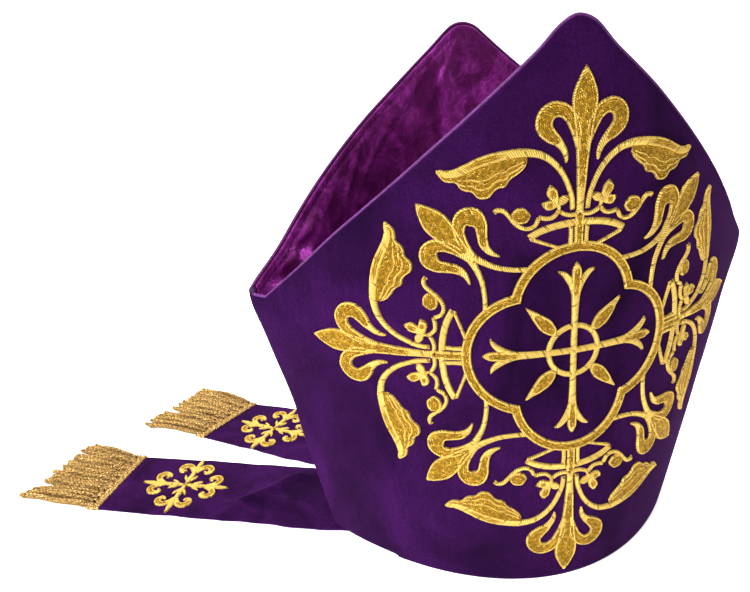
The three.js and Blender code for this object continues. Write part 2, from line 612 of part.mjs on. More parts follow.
// Lappet sheet: height of its top face at a place in its plan, flat near both ends
function lappetHeight({ length }, along, across) {
  const bump = CREASES.reduce((sum, crease) => {
    const offset = new THREE.Vector2(along - crease.along * length, across - crease.across * LAPPET_WIDTH / 2)
      .rotateAround(new THREE.Vector2(), -radians(crease.turn));
    const near = (offset.x / (crease.length * LAPPET_WIDTH)) ** 2 + (offset.y / (crease.width * LAPPET_WIDTH)) ** 2;
    return sum + crease.height * Math.exp(-near);
  }, 0);
  const fade = clamp(4 * along / length, 0, 1) * clamp(5 * (0.78 - along / length), 0, 1);
  return LAPPET_CREASE * bump * fade;
}
const slantAt = (lappet, across) => lappet.slant * (across / LAPPET_WIDTH + 0.5);
function lappetGeometry(lappet, plan) {
  const { plan: place } = lappetFrame(lappet);
  const grid = (raise) => Array.from({ length: LAPPET_ROWS + 1 }, (unusedRow, j) => {
    const share = j / LAPPET_ROWS;
    const near = -profile(plan, 'along', 'near', share) * LAPPET_WIDTH / 2;
    const far = profile(plan, 'along', 'far', share) * LAPPET_WIDTH / 2;
    return Array.from({ length: LAPPET_COLUMNS + 1 }, (unused, i) => {
      const across = near + (far - near) * i / LAPPET_COLUMNS;
      const along = share * lappet.length + slantAt(lappet, across) * (1 - share);
      const spot = place(along, across);
      return new THREE.Vector3(spot.x, spot.y, raise + lappetHeight(lappet, along, across));
    });
  });
  return shell(grid(LAPPET_THICKNESS), grid(0));
}

// Cross of four small fleurs on a lappet
function lappetCross(lappet) {
  const small = LAPPET_CROSS_REACH / 100;
  const arm = (turn) => joined([
    flatSolid(strokeOutline(LAPPET_STROKES.petal, small, turn, 1), RELIEF),
    flatSolid(strokeOutline(LAPPET_STROKES.curl, small, turn, 1), RELIEF),
    flatSolid(strokeOutline(LAPPET_STROKES.curl, small, turn, -1), RELIEF),
  ]);
  const { plan } = lappetFrame(lappet);
  return laidOn(joined([0, 90, 180, 270].map(arm)), (x, y, height) => {
    const along = lappet.cross + x;
    const spot = plan(along, y);
    return new THREE.Vector3(spot.x, spot.y, LAPPET_THICKNESS + GAP + height + lappetHeight(lappet, along, y));
  }, LAPPET_WIDTH);
}

// Fringe: a braided head along the end of the lappet and locks fused to it, outlined in plan
function fringeGeometry(lappet, plan, locks) {
  const { plan: place } = lappetFrame(lappet);
  const nearSide = -plan[0].near * LAPPET_WIDTH / 2;
  const farSide = plan[0].far * LAPPET_WIDTH / 2;
  const step = (farSide - nearSide) / locks.length;
  const at = (along, across, aside = 0) => place(along - GAP + slantAt(lappet, across), across + aside);
  const outline = [at(0, farSide), at(0, nearSide)];
  locks.forEach(({ length, lean }, i) => {
    const near = nearSide + step * i;
    const tip = -FRINGE_LENGTH * length;
    const aside = FRINGE_LENGTH * length * lean;
    outline.push(at(-FRINGE_HEAD, near + (i === 0 ? 0 : step * 0.03)));
    outline.push(at(tip + step * 0.4, near + step * 0.06, aside));
    outline.push(at(tip, near + step * 0.45, aside));
    outline.push(at(tip + step * 0.3, near + step * 0.97, aside));
    outline.push(at(-FRINGE_HEAD, near + step * (i === locks.length - 1 ? 1 : 0.97)));
  });
  const shape = new THREE.Shape(outline);
  const geometry = new THREE.ExtrudeGeometry(shape, { depth: FRINGE_THICKNESS, bevelEnabled: false });
  geometry.deleteAttribute('normal');
  geometry.deleteAttribute('uv');
  return mergeVertices(geometry, 1e-4);
}

// Assembly
const mitre = new THREE.Group();
function add(name, geometry, material) {
  const mesh = new THREE.Mesh(geometry, material);
  mesh.name = name;
  mitre.add(mesh);
}
const embroider = (name, solid) => add(name, laidOn(solid, onFrontHorn, LONGEST_EDGE), goldThread());

add('front_horn', hornGeometry('front'), velvet());
add('rear_horn', hornGeometry('rear'), velvet());
add('lining', liningGeometry(), satin());
add('front_piping', pipingGeometry('front'), pipingSatin());
add('rear_piping', pipingGeometry('rear'), pipingSatin());
embroider('medallion_frame', medallionFrame());
embroider('medallion_cross', medallionCross());
[['top', 0], ['left', 90], ['bottom', 180], ['right', 270]].forEach(([place, turn]) => {
  embroider(`crown_${place}`, crown(turn));
  embroider(`fleur_${place}`, fleur(turn));
  embroider(`leaf_${place}_a`, scrollLeaf(turn, 1));
  embroider(`leaf_${place}_b`, scrollLeaf(turn, -1));
});
[['upper_left', 0], ['lower_left', 90], ['lower_right', 180], ['upper_right', 270]].forEach(([place, turn]) => {
  embroider(`corner_fleur_${place}`, cornerFleur(turn));
});
const lappets = [['near', NEAR_LAPPET, NEAR_PLAN, NEAR_LOCKS], ['far', FAR_LAPPET, FAR_PLAN, FAR_LOCKS]];
lappets.forEach(([place, lappet, plan, locks]) => {
  add(`${place}_lappet`, lappetGeometry(lappet, plan), velvet());
  add(`${place}_lappet_cross`, lappetCross(lappet), goldThread());
  add(`${place}_fringe`, fringeGeometry(lappet, plan, locks), bullion());
});

// The part stands on the table under the middle of its outer box
const box = new THREE.Box3().setFromObject(mitre);
mitre.position.set(-(box.min.x + box.max.x) / 2, -(box.min.y + box.max.y) / 2, -box.min.z);
mitre.updateMatrixWorld(true);

export default mitre;
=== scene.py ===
import math

import bmesh
import bpy
import numpy as np
from bpy.props import FloatProperty, FloatVectorProperty, PointerProperty
from mathutils import Matrix, Vector


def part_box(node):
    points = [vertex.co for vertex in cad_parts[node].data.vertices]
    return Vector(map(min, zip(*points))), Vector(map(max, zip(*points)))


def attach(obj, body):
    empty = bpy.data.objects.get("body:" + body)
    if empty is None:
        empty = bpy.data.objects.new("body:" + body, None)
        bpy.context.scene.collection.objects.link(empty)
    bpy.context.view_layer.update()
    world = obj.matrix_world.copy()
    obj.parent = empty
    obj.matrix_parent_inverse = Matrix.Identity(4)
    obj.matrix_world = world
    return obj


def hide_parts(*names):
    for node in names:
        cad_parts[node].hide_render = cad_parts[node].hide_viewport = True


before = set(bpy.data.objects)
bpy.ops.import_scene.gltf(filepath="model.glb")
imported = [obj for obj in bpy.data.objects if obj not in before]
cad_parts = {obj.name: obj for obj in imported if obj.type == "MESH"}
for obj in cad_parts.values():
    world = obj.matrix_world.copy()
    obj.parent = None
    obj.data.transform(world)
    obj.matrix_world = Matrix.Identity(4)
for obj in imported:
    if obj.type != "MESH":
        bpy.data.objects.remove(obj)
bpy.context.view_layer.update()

bl_info = {
    "name": "Bishop Mitre",
    "version": (1, 0, 0),
    "blender": (4, 5, 0),
    "location": "View3D > Sidebar > Mitre",
    "description": "Builds a velvet mitre with satin lining, gold embroidery and fringed lappets",
    "category": "Add Mesh",
}


def length(name, description, default):
    return FloatProperty(name=name, description=description, default=default, min=0.0, unit="LENGTH")


def colour(name, description, default):
    return FloatVectorProperty(name=name, description=description, default=default, size=3,
                               subtype="COLOR", min=0.0, max=1.0)


class MitreSizes(bpy.types.PropertyGroup):
    """Sizes of the mitre"""
    height: length("Height", "Table to the point where the upper edges would meet", 0.310)
    peak_height: length("Side peak height", "Top of the side seams", 0.165)
    rim_half_width: length("Rim half width", "Middle of the rim to a side seam", 0.115)
    peak_half_width: length("Peak half width", "Middle to a side peak", 0.151)
    front_depth: length("Front depth", "How far the front horn bulges forward", 0.084)
    rear_depth: length("Rear depth", "How far the rear horn bulges back", 0.098)
    tip_rounding: length("Tip rounding", "Radius of the rounded tips", 0.016)
    edge_hollow: length("Edge hollow", "How far the upper edges curve in", 0.0066)
    wall: length("Wall", "Thickness of a horn", 0.003)
    piping: length("Piping", "Thickness of the satin piping", 0.0019)
    embroidery_reach: length("Embroidery reach", "Medallion centre to a fleur tip", 0.140)
    embroidery_height: length("Embroidery height", "Rim to the medallion centre", 0.1446)
    relief: length("Embroidery relief", "Height of the raised stitching", 0.0013)
    lappet_width: length("Lappet width", "Width of a lappet", 0.067)
    lappet_thickness: length("Lappet thickness", "Thickness of a lappet", 0.0016)
    cross_reach: length("Lappet cross reach", "Centre of a lappet cross to its tips", 0.033)
    fringe_length: length("Fringe length", "Length of the bullion with its head", 0.060)


class MitreColours(bpy.types.PropertyGroup):
    """Colours of the mitre"""
    velvet: colour("Velvet", "Deep pile colour", (0.0120, 0.0019, 0.0220))
    velvet_brushed: colour("Brushed velvet", "Pile that leans to the light", (0.040, 0.0052, 0.072))
    lining: colour("Lining", "Satin ground", (0.098, 0.0075, 0.084))
    lining_figure: colour("Lining figure", "Woven leaves in the satin", (0.27, 0.028, 0.27))
    piping: colour("Piping", "Light satin edge", (0.135, 0.030, 0.185))
    rear_piping: colour("Rear piping", "Satin edge of the rear horn", (0.115, 0.015, 0.125))
    gold: colour("Gold thread", "Stitched fill", (0.56, 0.315, 0.022))
    # Painted highlight: this lighter gold is painted onto the satin-stitched borders and onto the stitches
    # that glint, standing in for their sheen
    gold_highlight: colour("Light gold", "Satin-stitched borders", (0.94, 0.68, 0.18))
    bullion: colour("Bullion", "Fringe strands", (0.53, 0.335, 0.105))
    floor: colour("Floor", "Table and backdrop", (0.93, 0.93, 0.94))


# Shape of the mitre, in millimetres about its own middle

LEVELS = [0, 0.47, 1, 1.53, 2]
FLARE = [0, 0.47, 1, 1, 1]
FRONT_SHARE = [0.957, 1.008, 0.996, 1.02, 1.049]
REAR_SHARE = [0.926, 1.0, 1.034, 0.979, 0.843]
TURN = [0, 0.66, 1, 1.46, 2]
TURN_ANGLES = [39.0, 52.5, 19.5]
LAPPET_GAP = 0.3
EAR_REACH, EAR_SHARE, EAR_HEIGHT, EAR_RISE = 4.6, 0.11, 20.0, 4.0
# How far each upper edge strays from an even curve, from the left seam to the right one
EDGE_LEAN = {
    "front": ([-1, -0.97, -0.94, -0.88, -0.8, -0.68, -0.6, -0.5, -0.4, -0.3, -0.12, -0.05, 0,
               0.06, 0.12, 0.2, 0.3, 0.5, 0.75, 1],
              [1, -3.4, -7.4, -6.6, -5.5, -3.4, -3.1, -2.9, -2.6, -2.7, -2.7, -0.8, 1,
               0.4, -0.6, 0.6, 2, 2.6, 3.3, 4.8]),
    "rear": ([-1, -0.85, -0.6, -0.45, -0.3, -0.15, -0.04, 0.05, 0.2, 0.5, 0.7, 1],
             [4.5, 0, -0.7, -1.2, -2.3, -1.9, -0.6, -1.2, -1.6, -0.6, 0, 4.8]),
}
# Soft bulge of the cloth at the left and right seams, by height as a share of the side peaks'
SWELL = ([0, 0.24, 0.45, 0.58, 0.68, 0.82], [2.4, 2.7, 2.4, 0.55, 0, 0], [1.1, 2.0, 2.6, 2.3, 1.35, 0])
SWELL_SHARE = 0.55
# Each lappet starts at x, y and runs back under the rim; slant is how far its far corner falls
# behind the near one, fringe and lean the length and sideways run of the strands at both edges
NEAR_LAPPET = {"x": -263.8, "y": 93.3, "heading": -22.8, "length": 198.0, "slant": 2.0, "cross": 51.0,
               "fringe": (1.07, 0.88), "lean": (0.08, 0.27), "plan": (
                   [0, 0.35, 0.65, 0.8, 1], [1, 1.02, 1.02, 1.06, 0.95], [1, 1.02, 1, 1, 0.9])}
FAR_LAPPET = {"x": -186.2, "y": 166.2, "heading": -38.0, "length": 172.0, "slant": 8.0, "cross": 48.0,
              "fringe": (0.98, 1.04), "lean": (-0.03, 0.12), "plan": (
                  [0, 0.25, 0.56, 0.8, 1], [0.93, 0.95, 0.97, 0.72, 0.5], [0.92, 1.08, 1.06, 0.95, 0.85])}
# Share of a lappet's length from which the rim covers it
COVERED_FROM = 0.62
# Distance square to a sloping upper edge for each millimetre straight below it
EDGE_COSINE = 0.78
WALL_ROUNDING, LAPPET_ROUNDING = 1.5, 0.9
LINING_REACH, LINING_THICKNESS, LINING_AROUND = 0.993, 0.8, 180.0
MILLIMETRE = 0.001


def profile(keys, values, at):
    """Smooth curve through a table, without overshoot between its rows"""
    keys, values = np.asarray(keys, float), np.asarray(values, float)
    at = np.asarray(at, float)
    slope = np.diff(values) / np.diff(keys)
    product = slope[:-1] * slope[1:]
    total = np.where(product > 0, slope[:-1] + slope[1:], 1)
    inner = np.where(product > 0, 2 * product / total, 0)
    tangent = np.concatenate([slope[:1], inner, slope[-1:]])
    i = np.clip(np.searchsorted(keys, at, side="right") - 1, 0, len(keys) - 2)
    span = keys[i + 1] - keys[i]
    s = np.clip((at - keys[i]) / span, 0, 1)
    rise = s * s * (3 - 2 * s)
    return (values[i] * (1 - rise) + values[i + 1] * rise
            + span * (tangent[i] * s * (1 - s) ** 2 - tangent[i + 1] * s * s * (1 - s)))


def soft_step(low, high, value):
    s = np.clip((value - low) / (high - low), 0, 1)
    return s * s * (3 - 2 * s)


class Shape:
    """Curved panels and lappets of the mitre, worked out from its sizes"""

    def __init__(self, sizes):
        def mm(name):
            return getattr(sizes, name) * 1000
        self.height, self.peak = mm("height"), mm("peak_height")
        self.rim_width, self.peak_width = mm("rim_half_width"), mm("peak_half_width")
        self.depths = {"front": mm("front_depth"), "rear": mm("rear_depth")}
        self.rounding, self.hollow = mm("tip_rounding"), mm("edge_hollow")
        self.wall, self.piping = mm("wall"), mm("piping")
        self.reach, self.centre, self.relief = mm("embroidery_reach"), mm("embroidery_height"), mm("relief")
        self.lappet_width, self.lappet_thickness = mm("lappet_width"), mm("lappet_thickness")
        self.cross_reach, self.fringe = mm("cross_reach"), mm("fringe_length")
        front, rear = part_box("front_horn"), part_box("rear_horn")
        self.origin = np.array([(front[0][0] + front[1][0]) / 2, (front[1][1] + rear[0][1]) / 2, 0.0])
        self.heights = np.linspace(0, self.height, 156)
        self.shares = np.linspace(0, 1.15, 116)
        self.arcs = {side: self._arc_table(side) for side in ("front", "rear")}
        self.edges = {side: self._edge_table(side) for side in ("front", "rear")}

    def section(self, side, z):
        """Half width, depth and turn of a panel at a height"""
        z = np.asarray(z, float)
        level = np.where(z <= self.peak, z / self.peak, 1 + (z - self.peak) / (self.height - self.peak))
        level = np.clip(level, 0, 2)
        turn_share = profile(LEVELS, TURN, level)
        low, middle, high = TURN_ANGLES
        turn = np.where(turn_share <= 1, low + (middle - low) * turn_share,
                        middle + (high - middle) * (turn_share - 1))
        half = self.rim_width + (self.peak_width - self.rim_width) * profile(LEVELS, FLARE, level)
        share = FRONT_SHARE if side == "front" else REAR_SHARE
        return half, self.depths[side] * profile(LEVELS, share, level), np.radians(turn)

    def point(self, side, across, z, inset):
        """Points of a panel; across is -1 at the left seam and 1 at the right one"""
        across, z, inset = np.broadcast_arrays(np.asarray(across, float), np.asarray(z, float),
                                               np.asarray(inset, float))
        half, depth, turn = self.section(side, z)
        x = (half - 1.2 * inset) * np.sin(turn * across) / np.sin(turn)
        ear = np.exp(-((1 - np.abs(across)) / EAR_SHARE) ** 2
                     - ((z - self.peak - EAR_RISE) / EAR_HEIGHT) ** 2)
        left, right = (profile(SWELL[0], row, np.clip(z / self.peak, 0, 0.82)) for row in SWELL[1:])
        spread = np.exp(-((1 - np.abs(across)) / SWELL_SHARE) ** 2) - math.exp(-1 / SWELL_SHARE ** 2)
        x = x + (EAR_REACH * ear + np.where(across < 0, left, right) * spread) * np.sign(across)
        bulge = (np.cos(turn * across) - np.cos(turn)) / (1 - np.cos(turn))
        y = (depth - inset) * bulge + 0.01
        return np.stack([x, -y if side == "front" else y, z], -1)

    def _arc_table(self, side):
        grid = self.point(side, self.shares[None, :], self.heights[:, None], 0)
        steps = np.linalg.norm(np.diff(grid, axis=1), axis=2)
        return np.concatenate([np.zeros((len(self.heights), 1)), np.cumsum(steps, axis=1)], axis=1)

    def arc_at(self, side, z):
        """Distances round a panel from its middle, for each share of its half"""
        last = len(self.heights) - 1
        row = np.clip(np.asarray(z, float) / self.height * last, 0, last - 0.001)
        low = row.astype(int)
        share = (row - low)[..., None]
        return self.arcs[side][low] * (1 - share) + self.arcs[side][low + 1] * share

    def across_at(self, side, distance, z):
        """Share of the half panel at a distance round it from its middle"""
        distance, z = np.broadcast_arrays(np.asarray(distance, float), np.asarray(z, float))
        arcs = self.arc_at(side, z)
        wanted = np.abs(distance)[..., None]
        i = np.clip((arcs < wanted).sum(-1) - 1, 0, len(self.shares) - 2)[..., None]
        low = np.take_along_axis(arcs, i, -1)[..., 0]
        high = np.take_along_axis(arcs, i + 1, -1)[..., 0]
        share = (wanted[..., 0] - low) / np.maximum(high - low, 1e-9)
        return np.sign(distance) * (self.shares[i[..., 0]] + share * (self.shares[1] - self.shares[0]))

    def _edge_table(self, side):
        rise = self.height - self.peak
        reach = float(np.interp(1.0, self.shares, self.arc_at(side, self.peak)))
        half = math.atan2(reach - 4 * self.hollow, rise)
        tangent = self.rounding / math.tan(half)
        stop = 1 - tangent * math.cos(half) / rise
        s = np.linspace(0, stop, 40)
        z = self.peak + rise * s
        across = self.across_at(side, reach * (1 - s) - self.hollow * 4 * s * (1 - s), z)
        across[0] = 1.0
        angle = (math.pi / 2 - half) * (1 - np.linspace(0, 1, 16)[1:])
        tip_z = self.height - self.rounding / math.sin(half) + self.rounding * np.cos(angle)
        tip_across = self.across_at(side, self.rounding * np.sin(angle), tip_z)
        return np.concatenate([across, tip_across])[::-1], np.concatenate([z, tip_z])[::-1]

    def edge_height(self, side, across):
        shares, heights = self.edges[side]
        even = np.interp(np.abs(across), shares, heights)
        return np.maximum(even + profile(*EDGE_LEAN[side], across), self.peak + 1)

    def sway(self, side, across, z):
        """Gentle unevenness of the stiffened cloth, zero at its seams and edges"""
        across, z = np.asarray(across, float), np.asarray(z, float)
        calm = np.clip((1 - across ** 2) * 1.6, 0, 1) * soft_step(0, 22, z)
        calm = calm * soft_step(0, 22, self.edge_height(side, across) - z)
        return calm * (0.5 * np.sin(3.1 * across + z / 47) * np.sin(z / 61 + 0.6)
                       + 0.25 * np.sin(7.3 * across - z / 29 + 1.2))

    def on_front(self, x, y, raised):
        """Place on the front horn of a point of the flat embroidery"""
        level = np.exp(-(y / (self.reach * 0.415)) ** 4)
        end = soft_step(0.7, 1, x / self.reach) * level
        around = x + 4.2 - 12 * soft_step(0.45, 0.95, x / self.reach) * level - 3 * end
        z = self.centre + y + 10 * (around / (self.reach * 1.2)) ** 2 + 3 * end
        across = self.across_at("front", around, z)
        return self.point("front", across, z, -(raised + self.sway("front", across, z)))

    def lappet_frame(self, lappet):
        angle = math.radians(lappet["heading"])
        along = np.array([math.cos(angle), math.sin(angle)])
        return np.array([lappet["x"], lappet["y"]]), along, np.array([-along[1], along[0]])

    def on_lappet(self, lappet, along, across, z):
        start, forward, aside = self.lappet_frame(lappet)
        along, across, z = np.broadcast_arrays(along, across, z)
        plan = start + along[..., None] * forward + across[..., None] * aside
        return np.concatenate([plan, np.asarray(z, float)[..., None]], -1)

    def slant(self, lappet, across):
        return lappet["slant"] * (across / self.lappet_width + 0.5)

    def rim_lift(self, plan):
        """How far the rim rides up over the lappets that pass under it"""
        lift = np.zeros(plan.shape[:-1])
        for lappet in (NEAR_LAPPET, FAR_LAPPET):
            start, forward, aside = self.lappet_frame(lappet)
            offset = plan[..., :2] - start
            along, across = offset @ forward, offset @ aside
            inside = (along > 0) & (along < lappet["length"] + 20)
            share = np.clip((self.lappet_width / 2 + 34 - np.abs(across)) / 18, 0, 1)
            lift = np.maximum(lift, np.where(inside, share, 0))
        return lift * (self.lappet_thickness + LAPPET_GAP)

    def lappet_rise(self, lappet, along, across):
        """Height of the soft creases in a lappet"""
        near = lappet is NEAR_LAPPET
        rise = np.zeros(np.broadcast(along, across).shape)
        creases = ([(116, 2, 52, 36, 5.0, 3.6), (100, -14, 14, 30, 3.6, 1.8), (132, -14, -16, 30, 5, 2.4),
                    (146, 24, 18, 24, 4, 2.0)] if near else [(104, -6, 30, 26, 4.4, 2.2)])
        for at, side, turn, long, wide, height in creases:
            angle = math.radians(turn)
            dx, dy = along - at, across - side
            u = dx * math.cos(angle) + dy * math.sin(angle)
            v = -dx * math.sin(angle) + dy * math.cos(angle)
            rise = rise + height * np.exp(-(u / long) ** 2 - (v / wide) ** 2)
        end = lappet["length"]
        fade = soft_step(0, 30, along) * (1 - soft_step(end * COVERED_FROM, end * 0.78, along))
        cross = np.hypot(along - lappet["cross"], across) / (self.cross_reach * 1.25)
        return rise * fade * soft_step(0.75, 1.25, cross)


# Meshes

def build_mesh(name, parts, origin, weld=False):
    """One object from grids of points in millimetres; each part is (grid, uv, masks)"""
    points, faces, uvs, masks, offset = [], [], [], [], 0
    for grid, uv, mask in parts:
        rows, columns = grid.shape[:2]
        index = np.arange(rows * columns).reshape(rows, columns) + offset
        quads = np.stack([index[:-1, :-1], index[:-1, 1:], index[1:, 1:], index[1:, :-1]], -1)
        faces.append(quads.reshape(-1, 4))
        points.append(grid.reshape(-1, 3))
        uvs.append(uv.reshape(-1, 2))
        masks.append(np.broadcast_to(mask, grid.shape[:2]).reshape(-1))
        offset += rows * columns
    points = np.concatenate(points) * MILLIMETRE + origin
    faces, uvs, masks = np.concatenate(faces), np.concatenate(uvs), np.concatenate(masks)
    mesh = bpy.data.meshes.new(name)
    mesh.vertices.add(len(points))
    mesh.vertices.foreach_set("co", points.ravel())
    mesh.loops.add(faces.size)
    mesh.loops.foreach_set("vertex_index", faces.ravel())
    mesh.polygons.add(len(faces))
    mesh.polygons.foreach_set("loop_start", np.arange(0, faces.size, 4))
    mesh.update(calc_edges=True)
    layer = mesh.uv_layers.new(name="cloth")
    layer.data.foreach_set("uv", uvs[faces.ravel()].ravel())
    border = mesh.attributes.new("border", "FLOAT", "POINT")
    border.data.foreach_set("value", masks.astype(np.float32))
    mesh.polygons.foreach_set("use_smooth", np.ones(len(faces), bool))
    piece = bpy.data.objects.new(name, mesh)
    bpy.context.scene.collection.objects.link(piece)
    if weld:
        join_edges(mesh)
    return piece


def join_edges(mesh):
    """Welds points that coincide and turns the faces of a closed shell outwards"""
    work = bmesh.new()
    work.from_mesh(mesh)
    bmesh.ops.remove_doubles(work, verts=work.verts, dist=2e-6)
    bmesh.ops.dissolve_degenerate(work, edges=work.edges, dist=1e-7)
    bmesh.ops.recalc_face_normals(work, faces=work.faces)
    work.to_mesh(mesh)
    work.free()


def face_outwards(grid, reference):
    """Grid with its faces turned the same way as the reference directions"""
    a = grid[1:, :-1] - grid[:-1, :-1]
    b = grid[:-1, 1:] - grid[:-1, :-1]
    normal = np.cross(b, a)
    return (normal * reference[:-1, :-1]).sum() >= 0


def ready(piece, material, slot, *nodes):
    """Gives a finished piece its material and body, and hides the solids it stands for; slot is not used"""
    piece.data.materials.append(material)
    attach(piece, "root")
    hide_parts(*nodes)
    return piece


def edge_steps(size, rounding, middle):
    """Shares from 0 to 1 that are closer together at both ends, where an edge is rounded"""
    close = np.array([0, 0.08, 0.28, 0.6, 1.0, 1.6]) * rounding / size
    return np.concatenate([close, np.linspace(close[-1], 1 - close[-1], middle)[1:-1], 1 - close[::-1]])


def roundness(distance, radius):
    """Share of the full height at a distance in from a rounded edge"""
    s = np.clip(distance / radius, 0, 1)
    return np.sqrt(np.clip(1 - (1 - s) ** 2, 0, 1))


def shell_parts(middle, outer, inner, share, uv, front=0.0, back=0.0):
    """Two faces of a cloth wall that meet in a rounded edge, each with its mask"""
    share = share[..., None]
    return [(middle + (outer - middle) * share, uv, front),
            ((middle + (inner - middle) * share)[:, ::-1], uv[:, ::-1], back)]


def build_horn(shape, side, material):
    """Velvet wall of one horn, with a soft sway"""
    half_way_round, average_height = 170.0, 240
    steps = edge_steps(half_way_round, WALL_ROUNDING, 132)
    across = (2 * steps - 1)[:, None]
    tall = edge_steps(average_height, WALL_ROUNDING, 96)[None, :]
    top = shape.edge_height(side, across)
    rim = shape.point(side, across, 0, shape.wall / 2)
    bottom = shape.rim_lift(rim)
    z = bottom + (top - bottom) * tall
    middle = shape.point(side, across, z, shape.wall / 2)
    sway = shape.sway(side, across, z)
    outer = shape.point(side, across, z, -sway)
    inner = shape.point(side, across, z, shape.wall)
    arc = np.interp(np.abs(across), shape.shares, shape.arc_at(side, shape.peak))
    seam = np.broadcast_to(arc[0, 0] - arc, z.shape)
    nearest = np.minimum(np.minimum(seam, z - bottom), (top - z) * EDGE_COSINE)
    uv = np.stack([np.broadcast_to(np.sign(across) * arc, z.shape), z], -1)
    parts = shell_parts(middle, outer, inner, roundness(nearest, WALL_ROUNDING), uv, back=1.0)
    piece = build_mesh(f"{side}_horn_velvet", parts, shape.origin, weld=True)
    return ready(piece, material, "velvet", f"{side}_horn")


def lining_folds(across, z, arc, below):
    """How far the satin's puckers, billows and folds stand off a wall"""
    run = arc + z * 0.6
    seam_line = np.exp(-((below - 4.6) / 1.1) ** 2)
    pucker = (0.9 * np.exp(-((below - 10) / 6) ** 2)
              * (0.5 + 0.5 * np.sin(run / 3.4 + 1.3 * np.sin(run / 23))) ** 2)
    billow = soft_step(3, 30, below) * (
        2.2 * (0.5 + 0.5 * np.sin(arc / 21 - z / 33 + 0.8))
        + 1.5 * (0.5 + 0.5 * np.sin(arc / 9.5 + z / 17 + 1.4 * np.sin(arc / 31))) ** 2)
    corner = np.exp(-((np.abs(across) - 0.84) / 0.12) ** 2) * soft_step(1, 10, below)
    puff = corner * (3.0 + 2.2 * np.sin(z / 4.3 + across * 24) + 1.1 * np.sin(z / 2.3 - across * 41))
    crescents = (1.5 * np.exp(-((below - 17) / 10) ** 2)
                 * (0.5 + 0.5 * np.sin(arc / 6.2 + below / 3.4 + 1.6 * np.sin(arc / 15))) ** 3)
    tip_folds = (2.2 * np.exp(-(across / 0.20) ** 2) * soft_step(4, 24, below)
                 * np.abs(np.sin(arc / 5.6 + 0.6 * np.sin(z / 19))))
    raised = pucker + billow + puff + crescents + tip_folds
    raised = raised - 0.5 * seam_line + 0.5 * soft_step(2, 8, below)
    return raised * soft_step(0, 0.05, LINING_REACH - np.abs(across))


def lining_wall(shape, side, across, valley):
    """Satin on one horn from its upper edge down: its face, its thickness and the way to the edge"""
    share = np.linspace(0, 1, 46)[None, :] ** 1.25
    top = np.maximum(shape.edge_height(side, across) - 0.1, valley + 1)
    z = top + (valley - top) * share
    below = (top - z) * EDGE_COSINE
    behind = (shape.wall / 2 * (1 + roundness(below, WALL_ROUNDING))
              + 0.35 + 0.2 * soft_step(1, 4, below))
    arc = np.interp(np.abs(across), shape.shares, shape.arc_at(side, shape.peak)) * np.sign(across)
    raised = lining_folds(across, z, arc, below)
    facing = shape.point(side, across, z, behind + LINING_THICKNESS + np.maximum(raised, 0.05))
    back = shape.point(side, across, z, behind)
    return facing, facing - back, np.minimum(below, 50)


def build_lining(shape, material):
    """One satin sheet up the inside of both horns and across the valley between them"""
    across = np.linspace(-LINING_REACH, LINING_REACH, 181)[:, None]
    valley = shape.peak - 5 + 10.5 * (1 - across ** 2)
    rear_face, rear_lift, rear_edge = lining_wall(shape, "rear", across, valley)
    front = lining_wall(shape, "front", across, valley)
    front_face, front_lift, front_edge = (rows[:, ::-1] for rows in front)
    start, end = rear_face[:, -1], front_face[:, 0]
    share = np.linspace(0, 1, 45)[1:-1][None, :, None]
    width = np.linalg.norm(end - start, axis=1)[:, None]
    sag = np.minimum(18, width * 0.16)
    middle = start[:, None] * (1 - share) + end[:, None] * share
    s = share[..., 0]
    fold = 0.9 * np.sin(across * 21 + 2.2 * np.sin(s * 5)) + 0.6 * np.sin(across * 47 + s * 9)
    fold = fold * np.sin(math.pi * s)
    middle[..., 2] += -sag * (1 - (2 * s - 1) ** 4) - 1.2 + fold * np.clip(width / 60, 0.15, 1)
    valley_lift = np.zeros_like(middle)
    valley_lift[..., 2] = LINING_THICKNESS
    face = np.concatenate([rear_face, middle, front_face], axis=1)
    lift = np.concatenate([rear_lift, valley_lift, front_lift], axis=1)
    edge = np.concatenate([rear_edge, np.full(middle.shape[:2], 50.0), front_edge], axis=1)
    seam = np.broadcast_to((LINING_REACH - np.abs(across)) * LINING_AROUND, edge.shape)
    run = np.cumsum(np.linalg.norm(np.diff(face, axis=1, prepend=face[:, :1]), axis=2), axis=1)
    uv = np.stack([np.broadcast_to(across * LINING_AROUND, edge.shape), run], -1)
    stitch = np.exp(-((edge - 4.4) / 0.7) ** 2)
    share = roundness(np.minimum(edge, seam), 0.6)
    parts = shell_parts(face - lift / 2, face, face - lift, share, uv, front=stitch)
    piece = build_mesh("satin_lining", parts, shape.origin, weld=True)
    return ready(piece, material, "satin", "lining")


def tube_parts(path, radius, up, sides, squash=1.0):
    """Tube along a path, with a round or an oval section"""
    tangent = np.gradient(path, axis=0)
    tangent /= np.linalg.norm(tangent, axis=1)[:, None] + 1e-12
    level = np.cross(tangent, up)
    level /= np.linalg.norm(level, axis=1)[:, None] + 1e-12
    high = np.cross(level, tangent)
    angle = np.linspace(0, 2 * math.pi, sides + 1)[None, :]
    size = np.asarray(radius, float).reshape(-1, 1) * np.ones_like(angle)
    ring = (level[:, None] * (size * np.cos(angle))[..., None]
            + high[:, None] * (size * squash * np.sin(angle))[..., None])
    run = np.concatenate([[0], np.cumsum(np.linalg.norm(np.diff(path, axis=0), axis=1))])
    uv = np.stack([np.broadcast_to(run[:, None], size.shape),
                   np.broadcast_to(angle * float(np.max(radius)), size.shape)], -1)
    return (path[:, None] + ring)[:, ::-1], uv[:, ::-1]


